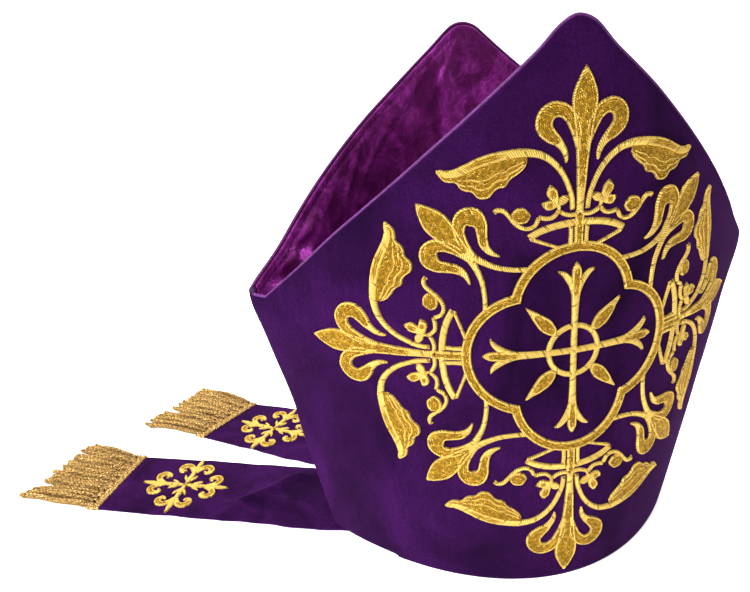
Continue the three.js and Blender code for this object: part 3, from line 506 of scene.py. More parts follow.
def build_piping(shape, side, material):
    """Satin edge along the top of one horn, thinner at its two ends"""
    half = np.concatenate([np.linspace(0, 0.12, 30), np.linspace(0.12, 1, 130)[1:]])
    across = np.concatenate([-half[::-1], half[1:]])
    z = shape.edge_height(side, across)
    radius = shape.piping / 2
    behind = shape.wall * 0.62
    centre = shape.point(side, across, z, behind)
    inward = shape.point(side, across, z, behind + 1) - centre
    inward /= np.linalg.norm(inward, axis=1)[:, None]
    along = np.gradient(centre, axis=0)
    along /= np.linalg.norm(along, axis=1)[:, None]
    up = np.cross(along, inward)
    up *= np.sign(up[:, 2:3] + 1e-9)
    path = centre + up * radius * 0.62
    end = np.minimum(np.arange(len(path)), np.arange(len(path))[::-1]) * 1.0
    size = radius * roundness(end + 0.02, 2.0)
    grid, uv = tube_parts(path, size, up, 12, squash=0.86)
    piece = build_mesh(f"{side}_satin_piping", [(grid, uv, 0.0)], shape.origin, weld=True)
    return ready(piece, material, "satin_piping", f"{side}_piping")


# Embroidery

DRAWN_REACH, DRAWN_CROSS_REACH = 140.2, 33.0
# Rows of across, out and half width in millimetres for the drawn reach, upper left of the motif
STROKES = {
    "petal": [(0, 140.2, .3), (0, 137, 2.2), (0, 133, 4.2), (0, 128, 6.0), (0, 122, 6.2), (0, 116, 5.2),
              (0, 109, 4.2), (0, 100, 3.1), (0, 88, 2.4), (0, 78, 1.9), (0, 72.6, 1.8)],
    "curl": [(-1.6, 101, 1.2), (-2.6, 107, 2.0), (-4.4, 113.5, 2.8), (-6.8, 118, 3.1),
             (-10.3, 121.0, 3.4),
             (-15.2, 121.4, 3.9), (-18.6, 118.3, 4.1), (-18.8, 113.6, 4.0), (-15.8, 109.8, 3.3),
             (-11.8, 106.5, 2.2), (-9.2, 103, 1.6), (-8.1, 99.5, 1.1), (-8.0, 97.0, .4)],
    "corner_petal": [(-78.8, 78.8, .3), (-76.2, 76.2, 2.7), (-73.4, 73.4, 4.7), (-70.2, 70.2, 6.2),
                     (-66.8, 66.8, 6.1), (-62.5, 62.5, 4.9), (-58.5, 58.5, 3.6), (-54.5, 54.5, 2.4)],
    "corner_curl": [(-50.5, 52.3, 1.4), (-54.0, 56.5, 2.1), (-57.0, 61.5, 2.7), (-58.2, 66.5, 3.0),
                    (-57.6, 70.5, 3.7), (-54.8, 72.9, 4.6), (-51.0, 72.6, 4.8), (-48.0, 69.4, 3.4),
                    (-47.2, 64.5, 2.7), (-46.4, 59.8, 2.4), (-44.3, 56.2, 1.8), (-41.3, 54.1, 1.1),
                    (-38.5, 53, .4)],
    "corner_stem": [(-57, 57.6, 2.2), (-51.5, 53.0, 1.9), (-46, 49.7, 1.6), (-40, 47.3, 1.4),
                    (-33, 46.0, 1.3), (-24.5, 45.6, 1.3)],
    "scroll_stem": [(-3.8, 74.0, 1.2), (-4.3, 79.5, 1.3), (-6.2, 85.5, 1.3), (-9.3, 91.8, 1.4),
                    (-14, 97.4, 1.5), (-20, 101.3, 1.7), (-27.5, 102.8, 2.0), (-34, 102.6, 2.1)],
    "leaf_band": [(-26.5, 102.6, 1.9), (-34, 102.4, 2.1), (-42, 101.0, 2.3), (-49, 98.7, 2.3),
                  (-55, 95.8, 2.2), (-60, 93.7, 2.1), (-64.5, 93.2, 1.8), (-68.6, 94.3, .4)],
    "sprig_top": [(-14.9, 87.0, .5), (-14.6, 84.2, 2.4), (-13.2, 80.8, 2.2), (-11.0, 77.0, 1.0),
                  (-10.4, 74.4, .7)],
    "sprig_side": [(-19.0, 78.5, .5), (-16.4, 77.3, 2.3), (-13.2, 77.4, 2.0), (-10.8, 77.6, .9)],
    "sprig_inner": [(-5.6, 80.8, .6), (-7.9, 79.7, 2.1), (-10.2, 78.3, 1.8), (-11.8, 77.2, .9)],
    "crown_wave": [(-41.6, 74.9, 1.3), (-40.2, 75.9, 1.2), (-37.5, 75.7, 1.2), (-34.8, 73.2, 1.1),
                   (-32.2, 69.9, 1.1), (-29.2, 67.4, 1.1), (-25.5, 66.3, 1.1), (-22.4, 67.4, 1.1),
                   (-20.2, 71.2, 1.1)],
    "crown_scallop_outer": [(-20.4, 71.8, 1.0), (-17.5, 70.9, 1.1), (-14.0, 71.0, 1.1),
                            (-10.4, 74.3, 1.1)],
    "crown_scallop_inner": [(-10.6, 74.3, 1.0), (-8.2, 72.6, 1.1), (-5.0, 71.6, 1.1),
                            (-2.2, 71.9, 1.1), (0, 74.0, 1.1)],
    "crown_ball": [(-33.4, 72.4, 1.0), (-31.6, 72.8, 3.2), (-29.0, 72.9, 4.0), (-26.4, 73.0, 3.4),
                   (-24.4, 73.4, 1.0)],
    "crown_band": [(-24.8, 61.8, 1.7), (-18.8, 64.8, 1.8), (-12, 66.7, 1.8), (-5, 67.6, 1.8),
                   (0, 67.7, 1.8)],
    "crown_brace": [(-23.8, 61.0, 1.0), (-17.5, 58.6, .9), (-9.0, 55.4, .9)],
    "crown_stub": [(0, 71.5, 2.3), (0, 65, 2.3), (0, 56.0, 2.3)],
    "crown_stub_side": [(-4.3, 66.5, 1.2), (-4.0, 62, 1.1), (-4.1, 56.0, 1.2)],
    "cross_arm": [(0, 47.6, .3), (0, 45.6, 1.6), (0, 43.2, 2.4), (0, 40.5, 2.4), (0, 36, 2.6),
                  (0, 28, 2.1),
                  (0, 18, 1.8), (0, 0, 1.7)],
    "cross_fluke": [(-9.8, 43.3, .4), (-7.2, 42.2, 1.2), (-4.9, 40.0, 1.7), (-2.7, 36.6, 1.8),
                    (-1.0, 31, 1.4)],
    "cross_ray": [(-9.6, 9.6, 1.0), (-12.0, 12.0, 2.7), (-15.0, 15.0, 3.7), (-18.5, 18.5, 3.0),
                  (-25.5, 25.5, .3)],
}
# Leaf: across, upper and scalloped lower outline
LEAF = [(-26.4, 104.3, 98.6), (-27.6, 104.7, 96.0), (-30, 104.7, 93.6), (-32.8, 104.5, 91.6),
        (-34.6, 104.4, 90.2),
        (-36.4, 104.1, 87.2), (-39.4, 103.7, 86.6), (-41.6, 103.3, 85.2), (-43.4, 102.9, 82.7),
        (-46.6, 101.9, 81.5),
        (-49.6, 100.8, 82.3), (-51.6, 99.8, 84.6), (-54.6, 98.4, 85.2), (-57.4, 97.1, 86.6),
        (-59.0, 96.3, 88.8),
        (-62.0, 95.3, 89.3), (-64.6, 95.0, 89.8), (-66.6, 95.4, 91.4), (-68.6, 95.0, 93.8)]
# The same for a lappet cross of the drawn reach
LAPPET_STROKES = {
    "petal": [(0, 33.0, .4), (0, 30.0, 1.2), (0, 26.5, 1.9), (0, 22.0, 1.8), (0, 16.0, 1.6),
              (0, 9.0, 1.9),
              (0, 4.0, 1.5), (0, 0.6, .8)],
    "curl": [(-.8, 15.4, 1.2), (-2.3, 19.4, 1.9), (-4.9, 22.6, 2.3), (-8.2, 23.7, 2.4),
             (-11.0, 21.8, 2.4),
             (-11.4, 18.4, 2.2), (-9.6, 16.2, 1.7), (-7.8, 16.8, 1.2), (-7.3, 18.4, .6)],
    "sprout": [(-.8, 5.0, .8), (-2.6, 7.4, 1.1), (-3.8, 9.4, 1.0), (-4.8, 11.6, .3)],
}
# Steps in from the edge of a stroke, over its satin border
BORDER = np.array([0, 0.1, 0.35, 0.7, 1.0, 1.25, 1.5])


def smooth_rows(rows, step):
    """Smooth line through stroke rows, with its half width"""
    rows = np.asarray(rows, float)
    run = np.concatenate([[0], np.cumsum(np.linalg.norm(np.diff(rows[:, :2], axis=0), axis=1))])
    if step == 0:
        return rows, run
    slope = np.gradient(rows, run, axis=0)
    at = np.linspace(0, run[-1], max(6, int(run[-1] / step)))
    i = np.clip(np.searchsorted(run, at, side="right") - 1, 0, len(run) - 2)
    span = (run[i + 1] - run[i])[:, None]
    s = ((at - run[i]) / span[:, 0])[:, None]
    line = (rows[i] * (1 + 2 * s) * (1 - s) ** 2 + rows[i + 1] * s * s * (3 - 2 * s)
            + slope[i] * span * s * (1 - s) ** 2 - slope[i + 1] * span * s * s * (1 - s))
    line[:, 2] = np.maximum(line[:, 2], 0.15)
    return line, at


def stroke_part(rows, place, relief, turn=0.0, mirror=1, upright=False, layer=0.0, step=0.9,
                fill=True):
    """Raised stitched band along a stroke, with a satin border on wide ones"""
    line, run = smooth_rows(rows, step)
    half = line[:, 2]
    tangent = np.gradient(line[:, :2], axis=0)
    tangent /= np.linalg.norm(tangent, axis=1)[:, None] + 1e-9
    normal = np.stack([-tangent[:, 1], tangent[:, 0]], -1)
    if upright:
        normal = np.stack([np.zeros(len(run)), np.ones(len(run))], -1)
    k = np.arange(len(BORDER))
    inward = np.minimum(BORDER[None, :], half[:, None] * k[None, :] / len(BORDER))
    side = half[:, None] - inward
    across = np.concatenate([side, np.zeros((len(run), 1)), -side[:, ::-1]], axis=1)
    depth = half[:, None] - np.abs(across)
    ridge = relief * roundness(depth, 0.6)
    sink = soft_step(0.85, 1.4, depth)
    inner_half = np.maximum(half[:, None] - 1.2, 0.5)
    floor_height = relief * (0.55 + 0.3 * roundness(depth - 1.2, inner_half))
    wide = ridge * (1 - sink) + floor_height * sink
    narrow = relief * 0.95 * roundness(depth, half[:, None])
    mix = soft_step(1.9, 2.5, half)[:, None] if fill else 0.0
    raised = wide * mix + narrow * (1 - mix)
    ends = np.minimum(run, run[-1] - run)[:, None]
    sunk = 0.3
    inside = roundness(ends + 0.05, 0.7) * np.where(depth > 1e-6, 1, 0)
    raised = -sunk + (raised + sunk + layer) * inside
    spot = line[:, None, :2] + across[..., None] * normal[:, None]
    angle = math.radians(turn)
    drawn_x, drawn_y = spot[..., 0] * mirror, spot[..., 1]
    x = drawn_x * math.cos(angle) - drawn_y * math.sin(angle)
    y = drawn_x * math.sin(angle) + drawn_y * math.cos(angle)
    grid = place(x, y, raised)
    border = 1 - sink * mix
    uv = np.stack([np.broadcast_to(run[:, None], across.shape), across], -1)
    if not face_outwards(grid, place(x, y, raised + 1) - grid):
        grid, uv, border = grid[:, ::-1], uv[:, ::-1], border[:, ::-1]
    return grid, uv, border


def swapped(rows):
    """The stroke mirrored in the diagonal"""
    return [(-out, -across, half) for across, out, half in rows]


class Embroidery:
    """Draws the gold motifs on the front horn"""

    def __init__(self, shape, material):
        self.shape, self.material = shape, material
        self.scale = shape.reach / DRAWN_REACH

    def sized(self, rows):
        return [tuple(value * self.scale for value in row) for row in rows]

    def stroke(self, rows, turn, mirror=1, **settings):
        place, relief = self.shape.on_front, self.shape.relief
        return stroke_part(self.sized(rows), place, relief, turn, mirror, **settings)

    def piece(self, name, parts, node):
        made = build_mesh(name, parts, self.shape.origin)
        return ready(made, self.material, "gold_thread", node)

    def fleur(self, place, turn):
        parts = [self.stroke(STROKES["curl"], turn, mirror) for mirror in (1, -1)]
        parts.append(self.stroke(STROKES["petal"], turn, layer=0.15))
        self.piece(f"stitched_fleur_{place}", parts, f"fleur_{place}")

    def corner_fleur(self, place, turn):
        parts = []
        for layer, name in enumerate(("corner_stem", "corner_curl")):
            parts.append(self.stroke(STROKES[name], turn, layer=0.06 * layer))
            parts.append(self.stroke(swapped(STROKES[name]), turn, layer=0.03 + 0.06 * layer))
        parts.append(self.stroke(STROKES["corner_petal"], turn, layer=0.2))
        self.piece(f"stitched_corner_fleur_{place}", parts, f"corner_fleur_{place}")

    def crown(self, place, turn):
        names = ["crown_stub_side", "crown_band", "crown_brace", "crown_scallop_inner", "crown_scallop_outer",
                 "crown_wave", "crown_ball", "sprig_inner", "sprig_side", "sprig_top"]
        parts = [self.stroke(STROKES["crown_stub"], turn)]
        for layer, name in enumerate(names):
            for mirror in (1, -1):
                parts.append(self.stroke(STROKES[name], turn, mirror, layer=0.02 * layer))
        self.piece(f"stitched_crown_{place}", parts, f"crown_{place}")

    def leaf(self, place, half, turn, mirror):
        outline = [(across, (top + low) / 2, (top - low) / 2) for across, top, low in LEAF]
        parts = [self.stroke(outline, turn, mirror, upright=True),
                 self.stroke(STROKES["scroll_stem"], turn, mirror, layer=0.1),
                 self.stroke(STROKES["leaf_band"], turn, mirror, layer=0.22)]
        for share, width in ((0.27, 0.62), (0.52, 0.55)):
            vein = [(across, low + (top - low - 3.0) * share, width)
                    for across, top, low in LEAF if top - low > 7.0]
            vein = [(across + 0.8, out, max(width * 0.5, 0.3)) for across, out, width in vein[:1]] + vein
            parts.append(self.stroke(vein, turn, mirror, layer=0.12, fill=False))
        self.piece(f"stitched_leaf_{place}_{half}", parts, f"leaf_{place}_{half}")

    def medallion(self):
        radius, out, half_width = 31, 24.5, 2.55
        cusp, inset = 11.0, 2.8

        def lobe_point(angle, half):
            return radius * math.cos(angle), out + radius * math.sin(angle), half
        rows = []
        for quarter in range(5):
            turn = math.radians(quarter * 90.0)
            first = 90.0 if quarter == 0 else cusp
            last = 90.0 if quarter == 4 else 180.0 - cusp
            angles = np.radians(np.linspace(first + inset * (quarter > 0), last - inset * (quarter < 4), 44))
            lobe = [lobe_point(angle, half_width) for angle in angles]
            if quarter > 0:
                corner_half = half_width / math.cos(math.radians(34))
                lobe.insert(0, lobe_point(math.radians(cusp), corner_half))
            rows += [(x * math.cos(turn) - y * math.sin(turn), x * math.sin(turn) + y * math.cos(turn), half)
                     for x, y, half in lobe]
        self.piece("stitched_medallion", [self.stroke(rows, 0, step=0)], "medallion_frame")
        angle = np.radians(np.linspace(0, 366, 61))
        parts = [self.stroke([(13.5 * math.cos(a), 13.5 * math.sin(a), 1.5) for a in angle], 0)]
        for turn in (0.0, 90.0, 180.0, 270.0):
            parts.append(self.stroke(STROKES["cross_ray"], turn, layer=0.05))
            parts += [self.stroke(STROKES["cross_fluke"], turn, mirror, layer=0.1) for mirror in (1, -1)]
            parts.append(self.stroke(STROKES["cross_arm"], turn, layer=0.2))
        self.piece("stitched_cross", parts, "medallion_cross")


# Lappets and fringes

def build_lappet(shape, place, lappet, material):
    """Velvet strip on the table, with soft creases"""
    keys, near_share, far_share = lappet["plan"]
    length = lappet["length"]
    steps = edge_steps(length, LAPPET_ROUNDING, 110)[:, None]
    half = shape.lappet_width / 2
    near = -profile(keys, near_share, steps) * half
    far = profile(keys, far_share, steps) * half
    wander = 0.5 * np.sin(steps * 23 + 1) + 0.3 * np.sin(steps * 51)
    near = near + wander * soft_step(0.1, 0.3, steps)
    far = far + 0.7 * wander * soft_step(0.1, 0.3, steps)
    aside = edge_steps(shape.lappet_width, LAPPET_ROUNDING, 44)[None, :]
    across = near + (far - near) * aside
    run = np.broadcast_to(steps * length, across.shape)
    along = run + shape.slant(lappet, across) * (1 - steps)
    rise = shape.lappet_rise(lappet, along, across)
    nearest = np.minimum(np.minimum(across - near, far - across), np.minimum(run, length - run))
    share = roundness(nearest, LAPPET_ROUNDING)
    thick = shape.lappet_thickness
    under = 1 - soft_step(length * COVERED_FROM, length * 0.8, along)
    puff = 0.35 * soft_step(0.5, 9, nearest) * under
    middle = shape.on_lappet(lappet, along, across, thick / 2 + rise)
    outer = shape.on_lappet(lappet, along, across, thick + rise + puff)
    inner = shape.on_lappet(lappet, along, across, rise + 0.02)
    uv = np.stack([across, along], -1)
    parts = shell_parts(middle, outer, inner, share, uv, back=1.0)
    piece = build_mesh(f"{place}_velvet_lappet", parts, shape.origin, weld=True)
    return ready(piece, material, "velvet", f"{place}_lappet")


def build_lappet_cross(shape, place, lappet, material):
    """Raised gold cross of four petals with curls on a lappet"""
    scale = shape.cross_reach / DRAWN_CROSS_REACH
    top = shape.lappet_thickness + 0.35

    def on_strip(x, y, raised):
        along = lappet["cross"] + x
        height = top + raised + shape.lappet_rise(lappet, along, y)
        return shape.on_lappet(lappet, along, y, height)

    def sized(name):
        return [tuple(value * scale for value in row) for row in LAPPET_STROKES[name]]
    parts = []
    for turn in (0.0, 90.0, 180.0, 270.0):
        for name in ("sprout", "curl"):
            for mirror in (1, -1):
                parts.append(stroke_part(sized(name), on_strip, shape.relief, turn, mirror, step=0.7))
        parts.append(stroke_part(sized("petal"), on_strip, shape.relief, turn, layer=0.12, step=0.7))
    piece = build_mesh(f"{place}_stitched_cross", parts, shape.origin)
    return ready(piece, material, "gold_thread", f"{place}_lappet_cross")


HEAD_LENGTH, HEAD_LAP, HEAD_OVERHANG, HEAD_LANES = 8.5, 1.2, 0.4, 3
STRAND_START = 5.0
FRINGE_SEEDS = {"near": 11, "far": 23}


def braided_head(shape, lappet, near_side, width):
    """Plaited band that holds the strands of a fringe"""
    along = np.linspace(HEAD_LAP, -HEAD_LENGTH, 40)[:, None]
    from_edge = np.linspace(-HEAD_OVERHANG, width + HEAD_OVERHANG, 150)[None, :]
    ends = np.minimum(from_edge + HEAD_OVERHANG, width + HEAD_OVERHANG - from_edge)
    lane = (HEAD_LAP - along) / (HEAD_LENGTH + HEAD_LAP) * HEAD_LANES
    lane = np.clip(lane, 0, HEAD_LANES - 1e-3)
    inside = lane - np.floor(lane)
    chevron = np.sin(math.pi * inside) ** 0.6
    slant = np.where(np.floor(lane) % 2 == 0, 1, -1)
    plait = 0.5 + 0.5 * np.sin(from_edge / 2.1 * 2 * math.pi + slant * inside * 4.2)
    nearest = np.minimum(ends, np.minimum(along + HEAD_LENGTH, HEAD_LAP - along))
    z = 0.1 + (2.1 + 0.7 * chevron * plait + 0.35 * chevron) * roundness(nearest, 0.7)
    across = near_side + from_edge
    grid = shape.on_lappet(lappet, along + shape.slant(lappet, across), across, z)
    uv = np.stack([np.broadcast_to(across, z.shape), np.broadcast_to(along, z.shape)], -1)
    up = np.zeros_like(grid)
    up[..., 2] = 1
    if not face_outwards(grid, up):
        grid, uv = grid[:, ::-1], uv[:, ::-1]
    return grid, uv, 0.8


def strand_parts(shape, lappet, near_side, width, layer, count, place, rng):
    """The two twisted plies of one strand of bullion"""
    share = (place + 0.5 + rng.uniform(-0.25, 0.25)) / count
    lean = float(np.interp(share, (0, 1), lappet["lean"])) + rng.normal(0, 0.02)
    whole = shape.fringe * float(np.interp(share, (0, 1), lappet["fringe"]))
    reach = whole - STRAND_START + rng.uniform(-5, 3) - 5 * (layer == 2)
    steps = np.linspace(0, reach, int(reach / 0.5))
    curl = rng.normal(0, 2.0) * soft_step(reach * 0.7, reach, steps)
    swing, phase = rng.uniform(5, 9), rng.uniform(0, 6.28, 3)
    place_across = near_side + share * width
    sideways = place_across + lean * steps + curl
    sideways = sideways + 0.5 * np.sin(steps / swing + phase[0]) * soft_step(0, 14, steps)
    radius = rng.uniform(1.75, 2.05) * (1 - 0.3 * (1 - soft_step(2, 7, steps)))
    level = 1.6 + layer * 1.3 + 0.5 * np.sin(steps / 7 + phase[1]) * soft_step(4, 16, steps)
    level = level - 0.7 * layer * soft_step(reach * 0.4, reach, steps)
    level = np.maximum(level - 0.9 * (1 - soft_step(3, 9, steps)), radius)
    twist = steps / 4.6 * 2 * math.pi + phase[2]
    bead = 0.86 + 0.2 * np.abs(np.sin(steps / 2.3 * math.pi + phase[0]))
    ply = radius * 0.5 * bead * roundness(np.minimum(steps + 0.6, reach - steps + 0.1), 1.5)
    flat = np.tile([0.0, 0.0, 1.0], (len(steps), 1))
    back = -STRAND_START - steps + shape.slant(lappet, place_across)
    parts = []
    for side in (0.0, math.pi):
        across = sideways + radius * 0.54 * np.cos(twist + side)
        height = level + radius * 0.5 * np.sin(twist + side)
        tube, tube_uv = tube_parts(shape.on_lappet(lappet, back, across, height), ply, flat, 6)
        parts.append((tube, tube_uv, rng.uniform(0.2, 1.0)))
    return parts


def build_fringe(shape, place, lappet, material):
    """Braided head with three layers of bullion strands"""
    rng = np.random.default_rng(FRINGE_SEEDS[place])
    near_side = -lappet["plan"][1][0] * shape.lappet_width / 2
    width = lappet["plan"][2][0] * shape.lappet_width / 2 - near_side
    parts = [braided_head(shape, lappet, near_side, width)]
    for layer, count in ((0, 15), (1, 16), (2, 8)):
        for i in range(count):
            parts += strand_parts(shape, lappet, near_side, width, layer, count, i, rng)
    piece = build_mesh(f"{place}_bullion_fringe", parts, shape.origin)
    return ready(piece, material, "gold_bullion", f"{place}_fringe")


# Materials

PILE_SHADOW, CLOTH_BACK = (0.005, 0.0013, 0.009), (0.10, 0.04, 0.15)
# The second colour on the next line is painted shade for the grooves between gold stitches; the first is the
# real seam thread
SEAM_THREAD, GOLD_GROOVE_SHADE = (0.035, 0.006, 0.035), (0.085, 0.034, 0.004)
# The second colour on the next line is painted shade for the hollows between the bullion's beads; the first
# is a painted glint
BULLION_GLINT, BULLION_HOLLOW_SHADE = (0.95, 0.78, 0.44), (0.12, 0.050, 0.012)


def feed(tree, socket, value):
    """Links another node's socket to this one, or gives it a plain value"""
    if isinstance(value, bpy.types.NodeSocket):
        tree.links.new(value, socket)
    elif socket.type == "RGBA" and len(value) == 3:
        socket.default_value = (*value, 1.0)
    else:
        socket.default_value = value


def put(tree, kind, inputs=None, **settings):
    """New shader node with its settings, values and links"""
    made = tree.nodes.new(kind)
    for name, value in settings.items():
        setattr(made, name, value)
    for name, value in (inputs or {}).items():
        feed(tree, made.inputs[name], value)
    return made


def put_group(tree, group, **inputs):
    made = tree.nodes.new("ShaderNodeGroup")
    made.node_tree = group
    for label, value in inputs.items():
        feed(tree, made.inputs[label.replace("_", " ")], value)
    return made


def maths(tree, operation, *values):
    made = put(tree, "ShaderNodeMath", operation=operation)
    for socket, value in zip(made.inputs, values):
        feed(tree, socket, value)
    return made.outputs[0]


def times(tree, first, second):
    return maths(tree, "MULTIPLY", first, second)


def blend_colours(tree, share, first, second):
    made = put(tree, "ShaderNodeMix", data_type="RGBA", blend_type="MIX")
    for socket, value in ((made.inputs[0], share), (made.inputs[6], first), (made.inputs[7], second)):
        feed(tree, socket, value)
    return made.outputs[2]


def blend_values(tree, share, first, second):
    made = put(tree, "ShaderNodeMix", data_type="FLOAT")
    for socket, value in zip(made.inputs[:1] + made.inputs[2:4], (share, first, second)):
        feed(tree, socket, value)
    return made.outputs[0]


def noise(tree, vector, scale, detail, **settings):
    """Output of a noise texture"""
    inputs = {"Vector": vector, "Scale": scale, "Detail": detail}
    inputs.update({name.title(): value for name, value in settings.items()})
    return put(tree, "ShaderNodeTexNoise", inputs).outputs[0]


def stretched(tree, vector, upright):
    """The vector with its upright part scaled"""
    return put(tree, "ShaderNodeMapping", {"Vector": vector, "Scale": (1.0, 1.0, upright)}).outputs[0]


def cloth_axes(tree):
    """The two directions of the piece's own cloth, in millimetres"""
    cloth = put(tree, "ShaderNodeUVMap", uv_map="cloth")
    part = put(tree, "ShaderNodeSeparateXYZ", {0: cloth.outputs[0]})
    return part.outputs[0], part.outputs[1]


def mask_of(tree):
    """The piece's own mask, from 0 to 1"""
    return put(tree, "ShaderNodeAttribute", attribute_name="border").outputs["Fac"]


def ramp(tree, value, low, high):
    made = put(tree, "ShaderNodeMapRange", {"Value": value, "From Min": low, "From Max": high})
    return made.outputs[0]


def new_group(name, inputs, outputs):
    tree = bpy.data.node_groups.new(name, "ShaderNodeTree")
    for label, kind, default in inputs:
        socket = tree.interface.new_socket(label, in_out="INPUT", socket_type=kind)
        if default is not None:
            socket.default_value = default
    for label, kind in outputs:
        tree.interface.new_socket(label, in_out="OUTPUT", socket_type=kind)
    return tree, tree.nodes.new("NodeGroupInput").outputs, tree.nodes.new("NodeGroupOutput").inputs


def pile_group():
    """Velvet pile: fine nap with upright streaks, and patches brushed another way"""
    tree, given, result = new_group("Velvet pile", [
        ("Position", "NodeSocketVector", None), ("Nap Scale", "NodeSocketFloat", 950.0),
        ("Brush Scale", "NodeSocketFloat", 16.0), ("Brush Softness", "NodeSocketFloat", 0.13)],
        [("Nap", "NodeSocketFloat"), ("Brushed", "NodeSocketFloat")])
    nap = noise(tree, given["Position"], given["Nap Scale"], 4.0, roughness=0.75)
    streaks = noise(tree, stretched(tree, given["Position"], 0.12), 330.0, 3.0)
    both = maths(tree, "ADD", times(tree, nap, 0.85), times(tree, streaks, 0.15))
    brush = noise(tree, stretched(tree, given["Position"], 0.6), given["Brush Scale"], 5.0,
                  roughness=0.6, distortion=0.7)
    low = maths(tree, "SUBTRACT", 0.5, given["Brush Softness"])
    high = maths(tree, "ADD", 0.5, given["Brush Softness"])
    tree.links.new(both, result["Nap"])
    tree.links.new(ramp(tree, brush, low, high), result["Brushed"])
    return tree


def stitch_group():
    """Rows of laid thread: ridges across a band, with a different glint on each stitch"""
    tree, given, result = new_group("Stitched thread", [
        ("Along", "NodeSocketFloat", 0.0), ("Across", "NodeSocketFloat", 0.0),
        ("Pitch", "NodeSocketFloat", 0.8), ("Slant", "NodeSocketFloat", 0.5),
        ("Stitch Length", "NodeSocketFloat", 3.0)],
        [("Height", "NodeSocketFloat"), ("Glint", "NodeSocketFloat")])
    slanted = maths(tree, "ADD", given["Along"], times(tree, given["Across"], given["Slant"]))
    phase = maths(tree, "DIVIDE", slanted, given["Pitch"])
    row = maths(tree, "FLOOR", phase)
    offset = times(tree, row, 0.37)
    cell = maths(tree, "ADD", maths(tree, "DIVIDE", given["Across"], given["Stitch Length"]), offset)
    ridge, bead = (maths(tree, "ABSOLUTE", maths(tree, "SINE", times(tree, value, math.pi)))
                   for value in (phase, cell))
    height = times(tree, maths(tree, "POWER", ridge, 0.7), maths(tree, "POWER", bead, 0.5))
    cells = put(tree, "ShaderNodeCombineXYZ", {"X": row, "Y": maths(tree, "FLOOR", cell)})
    chance = put(tree, "ShaderNodeTexWhiteNoise", {"Vector": cells.outputs[0]}, noise_dimensions="2D")
    tree.links.new(height, result["Height"])
    tree.links.new(chance.outputs[0], result["Glint"])
    return tree


def new_material(name, **uniform):
    material = bpy.data.materials.new(name)
    material.use_nodes = True
    tree = material.node_tree
    tree.nodes.clear()
    surface = put(tree, "ShaderNodeBsdfPrincipled")
    for label, value in uniform.items():
        surface.inputs[label.replace("_", " ")].default_value = value
    output = tree.nodes.new("ShaderNodeOutputMaterial")
    tree.links.new(surface.outputs[0], output.inputs[0])
    return material, tree, surface


def bumped(tree, surface, height, strength, distance):
    bump = put(tree, "ShaderNodeBump", {"Height": height, "Strength": strength, "Distance": distance})
    tree.links.new(bump.outputs[0], surface.inputs["Normal"])


def velvet_material(name, colours, pile, brush_scale, sheen):
    material, tree, surface = new_material(name, Roughness=0.95, Specular_IOR_Level=0.02,
                                           Sheen_Weight=sheen, Sheen_Roughness=0.34,
                                           Sheen_Tint=(0.42, 0.08, 0.58, 1.0))
    place = put(tree, "ShaderNodeTexCoord")
    nap = put_group(tree, pile, Position=place.outputs["Object"], Brush_Scale=brush_scale)
    shade = blend_colours(tree, nap.outputs["Brushed"], colours.velvet, colours.velvet_brushed)
    speck = ramp(tree, nap.outputs["Nap"], 0.36, 0.64)
    shade = blend_colours(tree, times(tree, speck, 0.7), shade, PILE_SHADOW)
    shade = blend_colours(tree, mask_of(tree), shade, CLOTH_BACK)
    tree.links.new(shade, surface.inputs["Base Color"])
    bumped(tree, surface, nap.outputs["Nap"], 0.7, 0.0011)
    return material


def lining_material(colours):
    material, tree, surface = new_material("Jacquard satin", Specular_IOR_Level=0.35, Metallic=0.5,
                                           Specular_Tint=(0.85, 0.35, 0.9, 1.0))
    place = put(tree, "ShaderNodeTexCoord").outputs["Object"]
    tall = stretched(tree, place, 0.7)
    ground = noise(tree, tall, 30.0, 3.0, distortion=1.6)
    veins = noise(tree, tall, 75.0, 2.0, distortion=2.5)
    line = maths(tree, "ABSOLUTE", maths(tree, "SUBTRACT", veins, 0.5))
    fine = maths(tree, "SUBTRACT", 1.0, ramp(tree, line, 0.015, 0.075))
    leaf = times(tree, ramp(tree, ground, 0.46, 0.56), 0.45)
    veined = times(tree, fine, maths(tree, "ADD", leaf, 0.2))
    figure = maths(tree, "MINIMUM", maths(tree, "ADD", leaf, veined), 1.0)
    shade = blend_colours(tree, figure, colours.lining, colours.lining_figure)
    around, up = cloth_axes(tree)
    weft = maths(tree, "ABSOLUTE", maths(tree, "SINE", times(tree, up, 7.0)))
    dash = ramp(tree, maths(tree, "SINE", times(tree, around, 1.9)), -0.2, 0.1)
    sewn = times(tree, mask_of(tree), dash)
    shade = blend_colours(tree, times(tree, sewn, 0.55), shade, SEAM_THREAD)
    tree.links.new(shade, surface.inputs["Base Color"])
    dull = maths(tree, "SUBTRACT", 0.44, times(tree, figure, 0.12))
    tree.links.new(dull, surface.inputs["Roughness"])
    creases = noise(tree, place, 80.0, 5.0, roughness=0.6, distortion=1.0)
    height = maths(tree, "ADD", creases, times(tree, figure, 0.06))
    height = maths(tree, "SUBTRACT", height, times(tree, sewn, 0.4))
    height = maths(tree, "ADD", height, times(tree, weft, 0.02))
    bumped(tree, surface, height, 0.6, 0.0022)
    return material


def piping_material(name, satin, stitches):
    material, tree, surface = new_material(name, Roughness=0.5, Specular_IOR_Level=0.15, Metallic=0.1)
    along, across = cloth_axes(tree)
    weave = put_group(tree, stitches, Along=along, Across=across, Pitch=0.9, Slant=0.9,
                      Stitch_Length=9.0)
    dark = tuple(value * 0.6 for value in satin)
    shade = blend_colours(tree, ramp(tree, weave.outputs["Glint"], 0.0, 1.0), dark, satin)
    tree.links.new(shade, surface.inputs["Base Color"])
    bumped(tree, surface, weave.outputs["Height"], 0.3, 0.0003)
    return material


